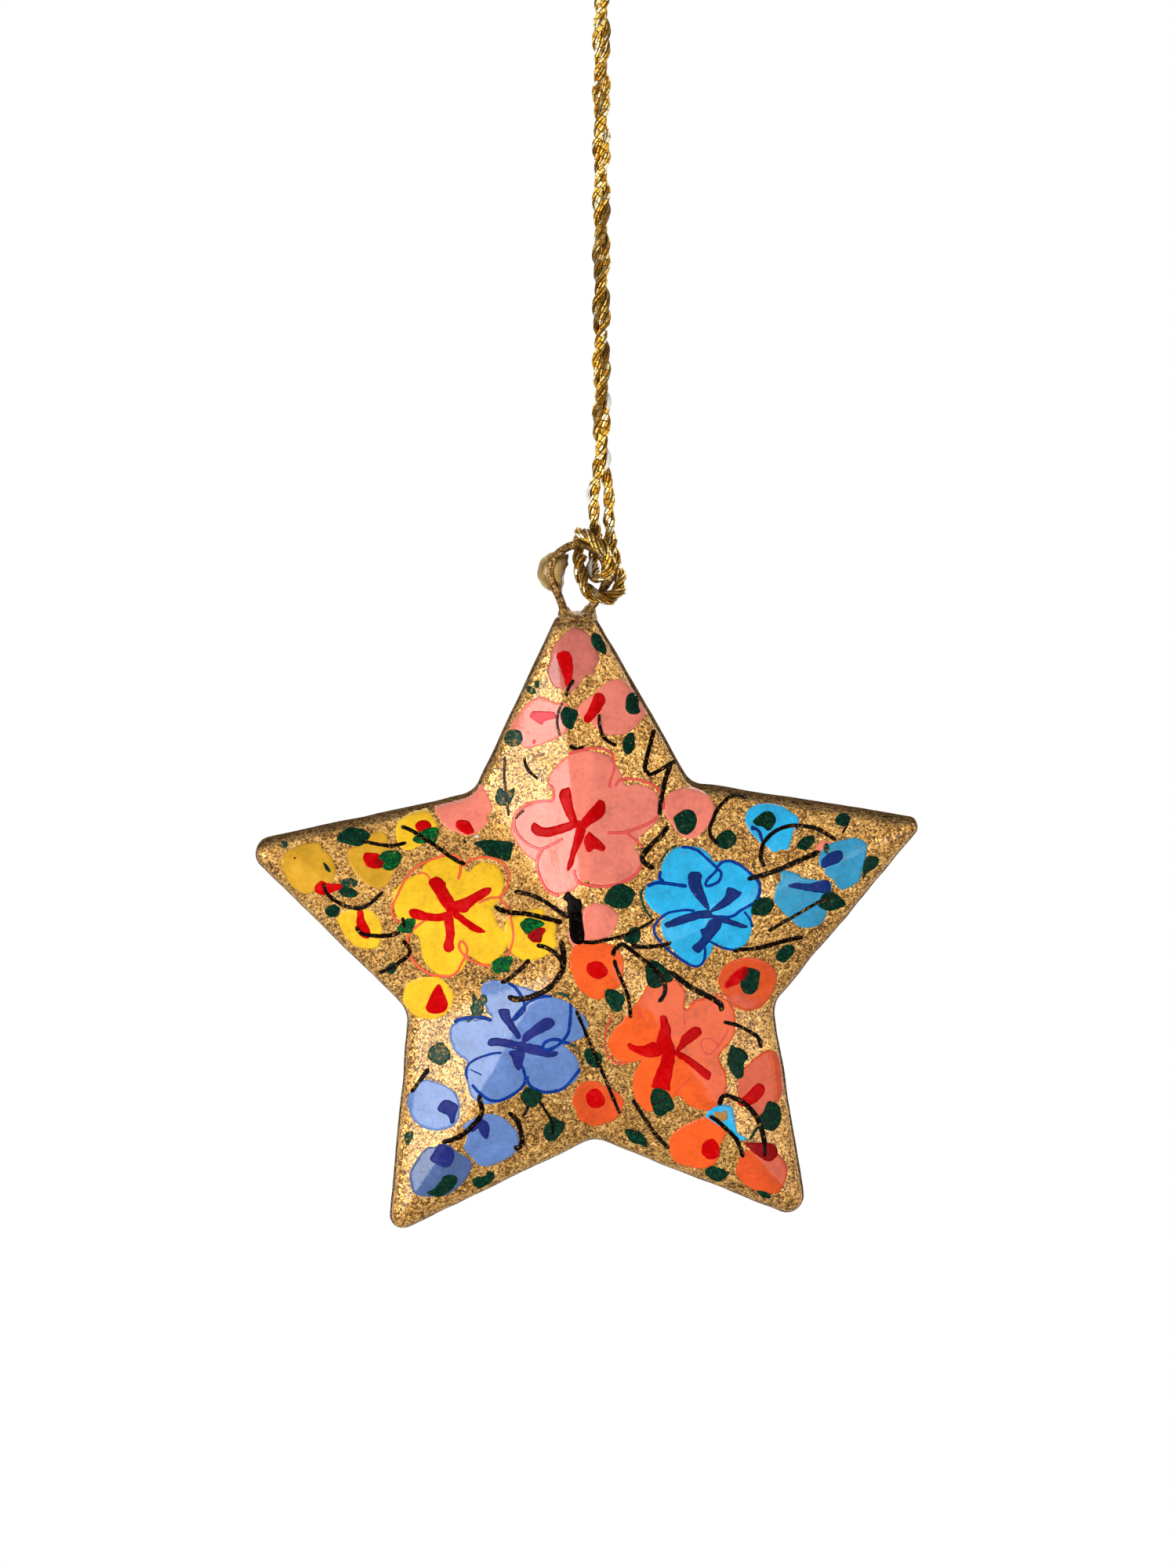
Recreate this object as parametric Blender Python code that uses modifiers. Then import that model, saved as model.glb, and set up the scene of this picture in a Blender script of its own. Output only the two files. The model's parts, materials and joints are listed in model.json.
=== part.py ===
"""Paper star ornament: a hollow papier-mache star on a wire eye, hung by a twisted cord.

Metres, +Z up, the front of the star towards -Y. The origin is the hang point: the inside of
the top of the cord's loop. The star is drawn in its own upright frame, whose origin is the
centre of the star on the seam, and is then leaned as it hangs.
"""
import math

import bmesh
import bpy
import numpy as np
from mathutils import Matrix, Vector

MM = 0.001

# Sizes below are in millimetres and degrees

# Star outline. The five arms go anticlockwise from the top one, seen from the front
ARM_REACH = 41.0  # centre to where the two edges of an arm would meet
INNER_REACH = 21.9  # centre to an inner corner
HAND_ARM_REACH = (0.8, 0.4, -0.4, -0.6, -0.1)  # how far each hand-made arm departs from that
HAND_ARM_TURN = (0.4, -0.4, -0.7, 0.2, 0.5)
HAND_INNER_TURN = (-0.8, -0.5, -0.7, -1.5, 2.0)
FLAT_END = 4.36  # width of the top arm's flat end
TIP_ROUND = 1.8
RIDGE_ROUND = 0.6  # the ridges are this soft, where the tips' rounding ends
INNER_ROUND = 3.0
VALLEY_ROUND = 6.0  # the valleys' softness at the rim, less towards the centre
END_ROUND = 0.4
TIP_SEGMENTS = 4
INNER_SEGMENTS = 3
END_SEGMENTS = 2
ARM_STEP = 360 / len(HAND_ARM_REACH)

# Star section, from the seam to the middle of a face
SIDE_HEIGHT = 7.0  # the side wall, both halves together
DOME_RISE = 8.5  # the middle of a face above the edge of the side wall
FACET_PUFF = 0.25  # how far a facet swells past flat
EDGE_ROUND = 1.6
EDGE_SEGMENTS = 3
FACET_SEGMENTS = 3
APEX_SHARE = 0.4  # the last ring lies near the middle, which stays a soft peak
WALL = 1.6
SEAM_GAP = 0.3  # glue line between the two halves

# Paper strip pasted round the seam
STRIP_WIDTH = 5.0
STRIP_THICKNESS = 0.3

# Pulp cap that closes the top arm round the wire
CAP_LENGTH = 4.4
SPIGOT_WALL = 0.45  # pulp on each side of the wire's legs
SPIGOT_DEPTH = 4.4
SPIGOT_LENGTH = 2.5
SPIGOT_SIDES = 20

SEAT_GAP = 0.3  # between two pieces that rest on each other

# Wire eye: x from the middle of the star, z above the top arm's flat end
WIRE_DIAMETER = 1.0
WIRE_CLEARANCE = 0.12
WIRE_STEP = 0.65
LEG_SPACING = 1.7  # the two legs inside the star
LEG_LENGTH = 6.0  # below the cap's underside
FOOT_SPREAD = 2.6  # how far each leg's end is bent outwards
FOOT_DROP = 2.0
EYE_ROUTE = (
    (-1.45, 0.0), (-1.8, 1.8), (-2.35, 3.25), (-2.75, 4.55), (-2.7, 6.05), (-1.95, 7.25),
    (-0.65, 8.05), (0.7, 8.25), (1.95, 7.8), (2.9, 6.9), (3.45, 5.75), (3.6, 4.35),
    (3.05, 3.05), (2.15, 1.7), (1.35, 0.0),
)
LUMP_PLACE = (3.55, 4.5)  # a thick place in the wire's coat of lacquer
LUMP_DIAMETER = 1.5
LUMP_LENGTH = 1.8

# Drop of lacquer that dried behind the left of the eye, placed in the same way
DROP_PLACE = (-2.0, 1.35, 5.1)
DROP_SIZE = (4.8, 3.4, 4.7)
DROP_EDGE = -1.35  # the torn inner edge
DROP_SEGMENTS = 20
DROP_RINGS = 12

# How it hangs
EYE_DROP = 73.5  # hang point down to where the hitch's route starts, at the top of the eye
STAR_SHIFT = -1.35  # middle of the star, to the left of the hang point
STAR_DROP = 7.8  # the flat end below the start of the hitch's route
STAR_LEAN = 2.1  # the top arm leans to the left

# Cord
CORD_DIAMETER = 1.2
CORD_STEP = 2.4  # between its points, where it runs nearly straight
TURN_STEP = 0.8  # and where it turns
ROUTE_SEGMENTS = 16
JOIN_HEIGHT = 4.4  # hitch to hanging cord, above the top of the eye
JOIN_SPREAD = 0.85  # each strand from the middle, at the join
PAIR_SPREAD = 0.75  # each strand from the middle, along the twist
TWIST_BOTTOM = 9.0  # above the top of the eye
TWIST_TOP = 9.5  # below the hang point
HALF_TURNS = 4
BIGHT_ROUTE = ((0.8, -8.1), (1.3, -6.2), (1.95, -4.2), (2.2, -2.3), (1.85, -0.6), (0.95, 0.35))

# The hitch on the eye, from the top of the eye: x to the right, y to the back, z up. It goes
# down behind the eye, round its right side to the front, in through the eye, up behind and
# over its top, down the front, in through the eye again and up behind
HITCH_ROUTE = (
    (0.85, 0.05, 3.2), (0.9, 0.5, 2.2), (1.0, 1.3, 0.9), (1.2, 1.9, -0.6), (1.65, 1.95, -2.1),
    (2.1, 1.2, -3.4), (2.15, -0.1, -4.45), (1.5, -1.35, -5.3), (0.3, -2.05, -5.55),
    (-0.95, -2.1, -5.15), (-1.95, -1.85, -4.05), (-2.3, -1.3, -2.7), (-2.45, -0.5, -1.6),
    (-2.45, 0.6, -1.15), (-2.5, 1.55, -0.6), (-2.55, 1.95, 0.4), (-2.5, 1.4, 1.35),
    (-2.35, 0.2, 1.78), (-1.75, -0.85, 1.6), (-0.85, -1.55, 1.0), (0.1, -1.8, 0.1),
    (0.75, -1.95, -0.9), (0.85, -1.95, -2.0), (0.25, -1.75, -2.95), (-0.6, -1.05, -3.25),
    (-0.95, 0.0, -2.75), (-0.9, 0.95, -1.9), (-0.75, 1.6, -0.9), (-0.65, 1.85, 0.3),
    (-0.65, 1.4, 1.5), (-0.75, 0.55, 2.4), (-0.85, 0.05, 3.2),
)
SWING_DROP = 2.2  # the middle of the hitch, where the star swings, below the top of the eye
SWING_RANGE = 12.0  # degrees each way, used to print the hitch's clearance

GOLD_PAINT = (0.30, 0.17, 0.055)
BARE_PAPER = (0.42, 0.36, 0.28)
CAP_PAINT = (0.22, 0.13, 0.05)
WIRE_PAINT = (0.20, 0.11, 0.04)
LACQUER = (0.26, 0.18, 0.05)
CORD_GOLD = (0.62, 0.36, 0.09)


def clear_scene():
    for obj in list(bpy.data.objects):
        bpy.data.objects.remove(obj, do_unlink=True)


def new_collection(name):
    collection = bpy.data.collections.new(name)
    bpy.context.scene.collection.children.link(collection)
    return collection


def new_material(name, colour, roughness, metallic):
    material = bpy.data.materials.new(name)
    material.use_nodes = True
    shader = material.node_tree.nodes["Principled BSDF"]
    shader.inputs["Base Color"].default_value = (*colour, 1.0)
    shader.inputs["Roughness"].default_value = roughness
    shader.inputs["Metallic"].default_value = metallic
    return material


def new_empty(name, place, collection, parent=None):
    """An empty at a world place, under its parent."""
    empty = bpy.data.objects.new(name, None)
    empty.empty_display_size = 2 * MM
    collection.objects.link(empty)
    if parent:
        empty.parent = parent
        empty.matrix_parent_inverse = parent.matrix_world.inverted()
    empty.matrix_basis = Matrix.Translation(place)
    bpy.context.view_layer.update()
    return empty


def place_object(obj, frame, collection, parent=None):
    """Link an object whose data is drawn in a frame, under the empty on its joint's axis."""
    collection.objects.link(obj)
    if parent:
        obj.parent = parent
        obj.matrix_parent_inverse = parent.matrix_world.inverted()
    obj.matrix_basis = frame
    bpy.context.view_layer.update()
    return obj


def mark_cutter(obj):
    obj.hide_render = True
    obj.display_type = "WIRE"


def cut(obj, cutter, operation="DIFFERENCE"):
    modifier = obj.modifiers.new(f"{operation.lower()} {cutter.name}", "BOOLEAN")
    modifier.operation = operation
    modifier.solver = "EXACT"
    modifier.object = cutter


def smooth_sides(mesh, angle=35.0):
    mesh.shade_smooth()
    mesh.set_sharp_from_angle(angle=math.radians(angle))


def smooth_route(points, step):
    """Evenly spaced points on a smooth curve through a route's own points."""
    points = [np.array(point, float) for point in points]
    ends = [2 * points[0] - points[1], *points, 2 * points[-1] - points[-2]]
    fine = []
    for before, start, end, after in zip(ends, ends[1:], ends[2:], ends[3:]):
        for share in np.linspace(0.0, 1.0, ROUTE_SEGMENTS, endpoint=False):
            fine.append(0.5 * (2 * start + (end - before) * share
                               + (2 * before - 5 * start + 4 * end - after) * share ** 2
                               + (3 * start - before - 3 * end + after) * share ** 3))
    fine = np.array([*fine, points[-1]])
    run = np.concatenate([[0.0], np.cumsum(np.linalg.norm(np.diff(fine, axis=0), axis=1))])
    even = np.linspace(0.0, run[-1], max(3, round(run[-1] / step) + 1))
    return np.array([[np.interp(at, run, fine[:, axis]) for axis in range(3)] for at in even])


def tube(name, points, diameter, bevel_resolution, material, swell=None):
    """A round wire or cord along its points, as a curve with filled ends."""
    curve = bpy.data.curves.new(name, "CURVE")
    curve.dimensions = "3D"
    curve.bevel_depth = diameter / 2 * MM
    curve.bevel_resolution = bevel_resolution
    curve.use_fill_caps = True
    spline = curve.splines.new("POLY")
    spline.points.add(len(points) - 1)
    for index, (spot, point) in enumerate(zip(spline.points, points)):
        spot.co = (*(Vector(point) * MM), 1.0)
        spot.radius = swell[index] if swell is not None else 1.0
    spline.use_smooth = True
    curve.materials.append(material)
    return bpy.data.objects.new(name, curve)


def tube_cutter(name, points, diameter, frame, cutters):
    """The same tube as a closed mesh, for cutting the pieces that it passes through."""
    drawn = place_object(tube(name + " line", points, diameter, 3, bpy.data.materials[0]),
                         frame, cutters)
    evaluated = drawn.evaluated_get(bpy.context.evaluated_depsgraph_get())
    mesh = bpy.data.meshes.new_from_object(evaluated)
    shape = bmesh.new()
    shape.from_mesh(mesh)
    bmesh.ops.remove_doubles(shape, verts=shape.verts, dist=0.01 * MM)
    bmesh.ops.recalc_face_normals(shape, faces=shape.faces)
    shape.to_mesh(mesh)
    shape.free()
    cutter = bpy.data.objects.new(name, mesh)
    place_object(cutter, drawn.matrix_world.copy(), cutters)
    mark_cutter(cutter)
    bpy.data.objects.remove(drawn)
    return cutter


def polar(reach, degrees):
    return Vector((reach * math.cos(math.radians(degrees)),
                   reach * math.sin(math.radians(degrees))))


def arm_tip(arm):
    """Where the two edges of an arm would meet."""
    return polar(ARM_REACH + HAND_ARM_REACH[arm], 90 + ARM_STEP * arm + HAND_ARM_TURN[arm])


def inner_corner(arm):
    """The inner corner that follows an arm, anticlockwise."""
    return polar(INNER_REACH, 90 + ARM_STEP * (arm + 0.5) + HAND_INNER_TURN[arm])


def where_edge_is_at(corner, tip, height):
    """Where the edge from an inner corner to the top tip crosses a height."""
    return corner.lerp(tip, (height - corner.y) / (tip.y - corner.y))


def flat_end_height():
    """Where the top arm has narrowed to its flat end, above the star's centre."""
    tip = arm_tip(0)
    narrowing = sum(abs((corner.x - tip.x) / (corner.y - tip.y))
                    for corner in (inner_corner(0), inner_corner(-1)))
    return tip.y - FLAT_END / narrowing


def round_corner(before, corner, after, radius, segments):
    """An arc of one radius in place of a sharp corner."""
    back = (before - corner).normalized()
    ahead = (after - corner).normalized()
    half = back.angle(ahead) / 2
    centre = corner + (back + ahead).normalized() * radius / math.sin(half)
    start = corner + back * radius / math.tan(half) - centre
    end = corner + ahead * radius / math.tan(half) - centre
    turn = start.angle_signed(end)
    return [centre + Matrix.Rotation(-turn * step / segments, 2) @ start
            for step in range(segments + 1)]


def edge_distance():
    """The star's straight edges all lie this far from its centre."""
    tip = polar(ARM_REACH, 90)
    corner = polar(INNER_REACH, 90 + ARM_STEP / 2)
    return abs(tip.x * corner.y - tip.y * corner.x) / (tip - corner).length


EDGE_DISTANCE = edge_distance()
TIP_CUT = flat_end_height()
CAP_BASE = TIP_CUT - CAP_LENGTH
SHELL_INSET = STRIP_THICKNESS + SEAT_GAP


def star_outline(inset=0.0):
    """The silhouette drawn in, anticlockwise from the middle of the top arm's flat end."""
    scale = 1 - inset / EDGE_DISTANCE
    tip_round = max(TIP_ROUND - inset, RIDGE_ROUND * min(1.0, 2 * scale))
    inner_round = min(INNER_ROUND + inset, VALLEY_ROUND * scale)
    top = arm_tip(0)
    left_end = where_edge_is_at(inner_corner(0), top, TIP_CUT) * scale
    right_end = where_edge_is_at(inner_corner(-1), top, TIP_CUT) * scale
    corners = [(left_end, END_ROUND * scale, END_SEGMENTS)]
    for arm in range(len(HAND_ARM_REACH)):
        if arm:
            corners.append((arm_tip(arm) * scale, tip_round, TIP_SEGMENTS))
        corners.append((inner_corner(arm) * scale, inner_round, INNER_SEGMENTS))
    corners.append((right_end, END_ROUND * scale, END_SEGMENTS))
    outline = [(left_end + right_end) / 2]
    for index, (corner, radius, segments) in enumerate(corners):
        before = corners[index - 1][0]
        after = corners[(index + 1) % len(corners)][0]
        outline += round_corner(before, corner, after, radius, segments)
    return outline


def facet_height(inset):
    """A facet above the seam, this far in from the star's straight edges."""
    share = inset / EDGE_DISTANCE
    return SIDE_HEIGHT / 2 + DOME_RISE * share + FACET_PUFF * math.sin(math.pi * share)


def half_section(inset, start):
    """Rings of one half, as inset of the outline and height above the seam, wall to middle."""
    slope = math.atan2(DOME_RISE, EDGE_DISTANCE)
    lift = EDGE_ROUND * (1 - math.sin(slope)) / math.cos(slope)
    wall_top = SIDE_HEIGHT / 2 + DOME_RISE * inset / EDGE_DISTANCE - lift
    rings = [(inset, start)]
    for step in range(EDGE_SEGMENTS + 1):
        angle = math.pi - (math.pi / 2 - slope) * step / EDGE_SEGMENTS
        rings.append((inset + EDGE_ROUND * (1 + math.cos(angle)),
                      wall_top + EDGE_ROUND * math.sin(angle)))
    left = EDGE_DISTANCE - rings[-1][0]
    for step in range(1, FACET_SEGMENTS + 1):
        drawn_in = EDGE_DISTANCE - left * (1 - step / (FACET_SEGMENTS + APEX_SHARE))
        rings.append((drawn_in, facet_height(drawn_in)))
    rings.append((EDGE_DISTANCE, facet_height(EDGE_DISTANCE)))
    return rings


def hollow_section():
    """Rings of the hollow inside one half, from past the seam to the middle."""
    rim = SHELL_INSET + WALL
    drop = WALL * math.hypot(DOME_RISE, EDGE_DISTANCE) / EDGE_DISTANCE
    rings = [(rim, -WALL)]
    for drawn_in in (rim, (rim + EDGE_DISTANCE) / 2, EDGE_DISTANCE):
        rings.append((drawn_in, facet_height(drawn_in) - drop))
    return rings


def star_loft(name, rings, side, material=None):
    """A closed solid through drawn-in outlines of the star; side is -1 for the front."""
    shape = bmesh.new()
    loops = []
    for inset, height in rings:
        points = star_outline(inset) if inset < EDGE_DISTANCE else [Vector((0.0, 0.0))]
        loops.append([shape.verts.new((point.x * MM, side * height * MM, point.y * MM))
                      for point in points])
    for below, above in zip(loops, loops[1:]):
        around = max(len(below), len(above))
        for index in range(around):
            following = (index + 1) % around
            if len(below) == 1:
                shape.faces.new((below[0], above[following], above[index]))
            elif len(above) == 1:
                shape.faces.new((below[index], below[following], above[0]))
            else:
                shape.faces.new((below[index], below[following], above[following], above[index]))
    for loop in (loops[0], loops[-1]):
        if len(loop) > 1:
            shape.faces.new(loop)
    bmesh.ops.recalc_face_normals(shape, faces=shape.faces)
    mesh = bpy.data.meshes.new(name)
    shape.to_mesh(mesh)
    shape.free()
    smooth_sides(mesh)
    if material:
        mesh.materials.append(material)
    return bpy.data.objects.new(name, mesh)


def box(name, low, high, frame, cutters):
    shape = bmesh.new()
    bmesh.ops.create_cube(shape, size=1.0)
    size = [(top - bottom) * MM for bottom, top in zip(low, high)]
    middle = [(top + bottom) / 2 * MM for bottom, top in zip(low, high)]
    bmesh.ops.scale(shape, vec=size, verts=shape.verts)
    bmesh.ops.translate(shape, vec=middle, verts=shape.verts)
    mesh = bpy.data.meshes.new(name)
    shape.to_mesh(mesh)
    shape.free()
    cutter = place_object(bpy.data.objects.new(name, mesh), frame, cutters)
    mark_cutter(cutter)
    return cutter


def oval_plug(name, clearance, bottom, top, frame, cutters):
    """The spigot's oval, or the mouth that it fits, between two heights of the top arm."""
    width = LEG_SPACING + WIRE_DIAMETER + 2 * (WIRE_CLEARANCE + SPIGOT_WALL)
    shape = bmesh.new()
    bmesh.ops.create_cone(shape, cap_ends=True, segments=SPIGOT_SIDES, radius1=0.5, radius2=0.5,
                          depth=1.0)
    bmesh.ops.scale(shape, verts=shape.verts, vec=((width + 2 * clearance) * MM,
                                                   (SPIGOT_DEPTH + 2 * clearance) * MM,
                                                   (top - bottom) * MM))
    bmesh.ops.translate(shape, verts=shape.verts, vec=(0.0, 0.0, (top + bottom) / 2 * MM))
    mesh = bpy.data.meshes.new(name)
    shape.to_mesh(mesh)
    shape.free()
    cutter = place_object(bpy.data.objects.new(name, mesh), frame, cutters)
    mark_cutter(cutter)
    return cutter


def make_shell(name, side, cutters, frame, parts, pivot, material):
    """One half of the star: a moulded paper shell, open at the seam and at the top arm."""
    shell = star_loft(name, half_section(SHELL_INSET, SEAM_GAP / 2), side, material)
    place_object(shell, frame, parts, pivot)
    hollow = star_loft(name + " hollow", hollow_section(), side)
    place_object(hollow, frame, cutters["collection"])
    mark_cutter(hollow)
    for cutter in (hollow, cutters["above the cap's base"], cutters["mouth"]):
        cut(shell, cutter)
    return shell


def make_seam_strip(frame, parts, pivot, material):
    """The strip of paper round the seam, from one side of the top arm to the other."""
    outline = star_outline()
    strip_end = CAP_BASE - SEAT_GAP / 2
    below = [index for index, point in enumerate(outline) if point.y < strip_end]
    first, last = below[0], below[-1]
    path = [where_edge_is_at(outline[first], outline[first - 1], strip_end),
            *outline[first:last + 1],
            where_edge_is_at(outline[last], outline[(last + 1) % len(outline)], strip_end)]
    shape = bmesh.new()
    edges = [[shape.verts.new((point.x * MM, height * MM, point.y * MM)) for point in path]
             for height in (-STRIP_WIDTH / 2, STRIP_WIDTH / 2)]
    for index in range(len(path) - 1):
        shape.faces.new((edges[0][index], edges[0][index + 1],
                         edges[1][index + 1], edges[1][index]))
    mesh = bpy.data.meshes.new("seam_strip")
    shape.to_mesh(mesh)
    shape.free()
    mesh.materials.append(material)
    strip = bpy.data.objects.new("seam_strip", mesh)
    place_object(strip, frame, parts, pivot)
    solidify = strip.modifiers.new("paper thickness", "SOLIDIFY")
    solidify.thickness = STRIP_THICKNESS * MM
    solidify.offset = -1.0
    solidify.use_even_offset = True
    return strip


def make_tip_cap(cutters, frame, parts, pivot, material):
    """The end of the top arm: solid pulp round the wire's legs, with a spigot in the shells."""
    front = half_section(0.0, 0.0)
    back = [(inset, -height) for inset, height in reversed(front[1:])]
    cap = star_loft("tip_cap", back + front[1:], -1, material)
    place_object(cap, frame, parts, pivot)
    cut(cap, cutters["below the cap's base"])
    cut(cap, cutters["spigot"], "UNION")
    cut(cap, cutters["wire bore"])
    return cap


def wire_route():
    """The whole wire: from one bent foot up its leg, round the eye and down again."""
    bottom = CAP_BASE - LEG_LENGTH
    leg = [(LEG_SPACING / 2 + FOOT_SPREAD, bottom - FOOT_DROP),
           (LEG_SPACING / 2, bottom),
           (LEG_SPACING / 2, CAP_BASE - SPIGOT_LENGTH)]
    left = [(-x, z) for x, z in leg]
    eye = [(x, z + TIP_CUT) for x, z in EYE_ROUTE]
    return smooth_route([(x, 0.0, z) for x, z in [*left, *eye, *reversed(leg)]], WIRE_STEP)


def lump_swell(points):
    """The wire's coat is thick in one place and thin elsewhere, as shares of its radius."""
    place = np.array((LUMP_PLACE[0], 0.0, LUMP_PLACE[1] + TIP_CUT))
    away = np.linalg.norm(points - place, axis=1) / (LUMP_LENGTH / 2)
    return 1 + (LUMP_DIAMETER / WIRE_DIAMETER - 1) * np.exp(-away ** 2)


def make_drop(cutters, frame, parts, pivot, material):
    """The dried drop of lacquer: an egg with a torn edge, grooved where it holds the wire."""
    shape = bmesh.new()
    bmesh.ops.create_uvsphere(shape, u_segments=DROP_SEGMENTS, v_segments=DROP_RINGS, radius=0.5)
    bmesh.ops.scale(shape, vec=[size * MM for size in DROP_SIZE], verts=shape.verts)
    x, y, z = DROP_PLACE
    bmesh.ops.translate(shape, vec=(x * MM, y * MM, (z + TIP_CUT) * MM), verts=shape.verts)
    mesh = bpy.data.meshes.new("lacquer_drop")
    shape.to_mesh(mesh)
    shape.free()
    smooth_sides(mesh)
    mesh.materials.append(material)
    drop = bpy.data.objects.new("lacquer_drop", mesh)
    place_object(drop, frame, parts, pivot)
    cut(drop, cutters["past the drop's edge"])
    cut(drop, cutters["wire groove"])
    return drop


def hitch_points(join_gap):
    """The hitch, from one strand's join down round the eye and up to the other's."""
    join = JOIN_HEIGHT - join_gap / 2
    route = [(JOIN_SPREAD, 0.0, join), *HITCH_ROUTE, (-JOIN_SPREAD, 0.0, join)]
    return smooth_route([(x, y, z - EYE_DROP) for x, y, z in route], TURN_STEP)


def strand_points(side, join_gap):
    """One strand of the hanging cord, from its join with the hitch to the foot of the bight."""
    join = JOIN_HEIGHT + join_gap / 2 - EYE_DROP
    bottom = TWIST_BOTTOM - EYE_DROP
    top = -TWIST_TOP
    run = [(side * JOIN_SPREAD, 0.0, join), (side * JOIN_SPREAD, 0.0, (join + bottom) / 2)]
    steps = round((top - bottom) / CORD_STEP)
    for step in range(steps + 1):
        angle = math.pi * HALF_TURNS * step / steps
        run.append((side * PAIR_SPREAD * math.cos(angle), side * PAIR_SPREAD * math.sin(angle),
                    bottom + (top - bottom) * step / steps))
    return run


def hanging_cord_points(join_gap):
    """Up one strand, over the bight at the hang point and down the other."""
    crown = (0.0, 0.0, CORD_DIAMETER / 2)
    right = [(x, 0.0, z) for x, z in BIGHT_ROUTE]
    left = [(-x, 0.0, z) for x, z in reversed(BIGHT_ROUTE)]
    route = [*strand_points(1, join_gap), *right, crown, *left,
             *reversed(strand_points(-1, join_gap))]
    finer = smooth_route(route, TURN_STEP / 4)
    points = [finer[0]]
    for point in finer[1:]:
        step = TURN_STEP if point[2] > -TWIST_TOP else CORD_STEP
        if np.linalg.norm(point - points[-1]) >= step:
            points.append(point)
    points[-1] = finer[-1]
    return np.array(points)


def least_gap(points, others, radii):
    """The least clear distance between the round surfaces along two runs of points."""
    spaces = np.linalg.norm(points[:, None] - others[None], axis=2)
    return (spaces - radii).min()


def least_gap_to_itself(points, step):
    """The least clear distance between stretches of one cord that lie apart along it."""
    skip = math.ceil(3 * CORD_DIAMETER / step)
    return min(least_gap(points[index:index + 1], points[index + skip:], CORD_DIAMETER)
               for index in range(len(points) - skip))


def print_clearances(hitch, wire, frame):
    """How near the hitch comes to itself, and to the wire as the star swings."""
    step = TURN_STEP / 4
    finer = smooth_route(hitch, step)
    print("hitch to itself: %.2f mm" % least_gap_to_itself(finer, step))
    radii = (lump_swell(wire)[:, None] * WIRE_DIAMETER + CORD_DIAMETER) / 2
    pivot = Vector((0.0, 0.0, -(EYE_DROP + SWING_DROP)))
    for degrees in (-SWING_RANGE, 0.0, SWING_RANGE):
        swing = (Matrix.Translation(pivot) @ Matrix.Rotation(math.radians(degrees), 4, "X")
                 @ Matrix.Translation(-pivot))
        placed = np.array([swing @ (frame @ (Vector(point) * MM) / MM) for point in wire])
        print("hitch to wire at %+.0f degrees: %.2f mm" % (
            degrees, least_gap(placed, finer, radii)))


def build():
    clear_scene()
    parts = new_collection("paper_star_ornament")
    cutter_collection = new_collection("cutters")
    gold = new_material("gold flake paint", GOLD_PAINT, 0.45, 0.6)
    paper = new_material("rough painted paper", BARE_PAPER, 0.7, 0.1)
    pulp = new_material("painted pulp", CAP_PAINT, 0.55, 0.4)
    wire_paint = new_material("painted wire", WIRE_PAINT, 0.5, 0.5)
    lacquer = new_material("dried lacquer", LACQUER, 0.2, 0.0)
    cord_gold = new_material("gilt cord", CORD_GOLD, 0.3, 0.9)

    centre = Vector((STAR_SHIFT, 0.0, -(EYE_DROP + STAR_DROP + TIP_CUT))) * MM
    frame = Matrix.Translation(centre) @ Matrix.Rotation(math.radians(-STAR_LEAN), 4, "Y")

    cord_pivot = new_empty("cord_pivot", (0.0, 0.0, (JOIN_HEIGHT - EYE_DROP) * MM), parts)
    star_pivot = new_empty("star_pivot", (0.0, 0.0, -(EYE_DROP + SWING_DROP) * MM), parts,
                           cord_pivot)

    wire = wire_route()
    reach = 2 * ARM_REACH
    cutters = {
        "collection": cutter_collection,
        "above the cap's base": box(
            "above cap base", (-reach, -reach, CAP_BASE - SEAT_GAP / 2), (reach, reach, reach),
            frame, cutter_collection),
        "below the cap's base": box(
            "below cap base", (-reach, -reach, -reach), (reach, reach, CAP_BASE + SEAT_GAP / 2),
            frame, cutter_collection),
        "mouth": oval_plug("mouth", SEAT_GAP, CAP_BASE - SPIGOT_LENGTH - SEAT_GAP,
                           CAP_BASE + SPIGOT_LENGTH, frame, cutter_collection),
        "spigot": oval_plug("spigot", 0.0, CAP_BASE - SPIGOT_LENGTH, CAP_BASE + CAP_LENGTH / 2,
                            frame, cutter_collection),
        "wire bore": tube_cutter("wire bore", wire, WIRE_DIAMETER + 2 * WIRE_CLEARANCE, frame,
                                 cutter_collection),
        "wire groove": tube_cutter("wire groove", wire, WIRE_DIAMETER + SEAT_GAP, frame,
                                   cutter_collection),
        "past the drop's edge": box(
            "past drop edge", (DROP_EDGE, -reach, 0.0), (reach, reach, reach), frame,
            cutter_collection),
    }

    make_shell("front_shell", -1, cutters, frame, parts, star_pivot, gold)
    make_shell("back_shell", 1, cutters, frame, parts, star_pivot, gold)
    make_seam_strip(frame, parts, star_pivot, paper)
    make_tip_cap(cutters, frame, parts, star_pivot, pulp)
    place_object(tube("wire_loop", wire, WIRE_DIAMETER, 2, wire_paint, lump_swell(wire)),
                 frame, parts, star_pivot)
    make_drop(cutters, frame, parts, star_pivot, lacquer)

    hitch = hitch_points(SEAT_GAP)
    place_object(tube("cord_hitch", hitch, CORD_DIAMETER, 1, cord_gold), Matrix(), parts,
                 cord_pivot)
    hanging = hanging_cord_points(SEAT_GAP)
    place_object(tube("hanging_cord", hanging, CORD_DIAMETER, 2, cord_gold), Matrix(), parts)
    print("cord: %.0f mm in the hitch, %.0f mm above it" % tuple(
        np.linalg.norm(np.diff(points, axis=0), axis=1).sum() for points in (hitch, hanging)))
    print_clearances(hitch, wire, frame)


build()
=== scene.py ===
# Paper star ornament: a painted papier-mache star on a wire eye, hung by a gilt cord
import json
import math

import bmesh
import bpy
import numpy as np
from mathutils import Matrix, Vector, geometry, noise
from mathutils.bvhtree import BVHTree

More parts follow.
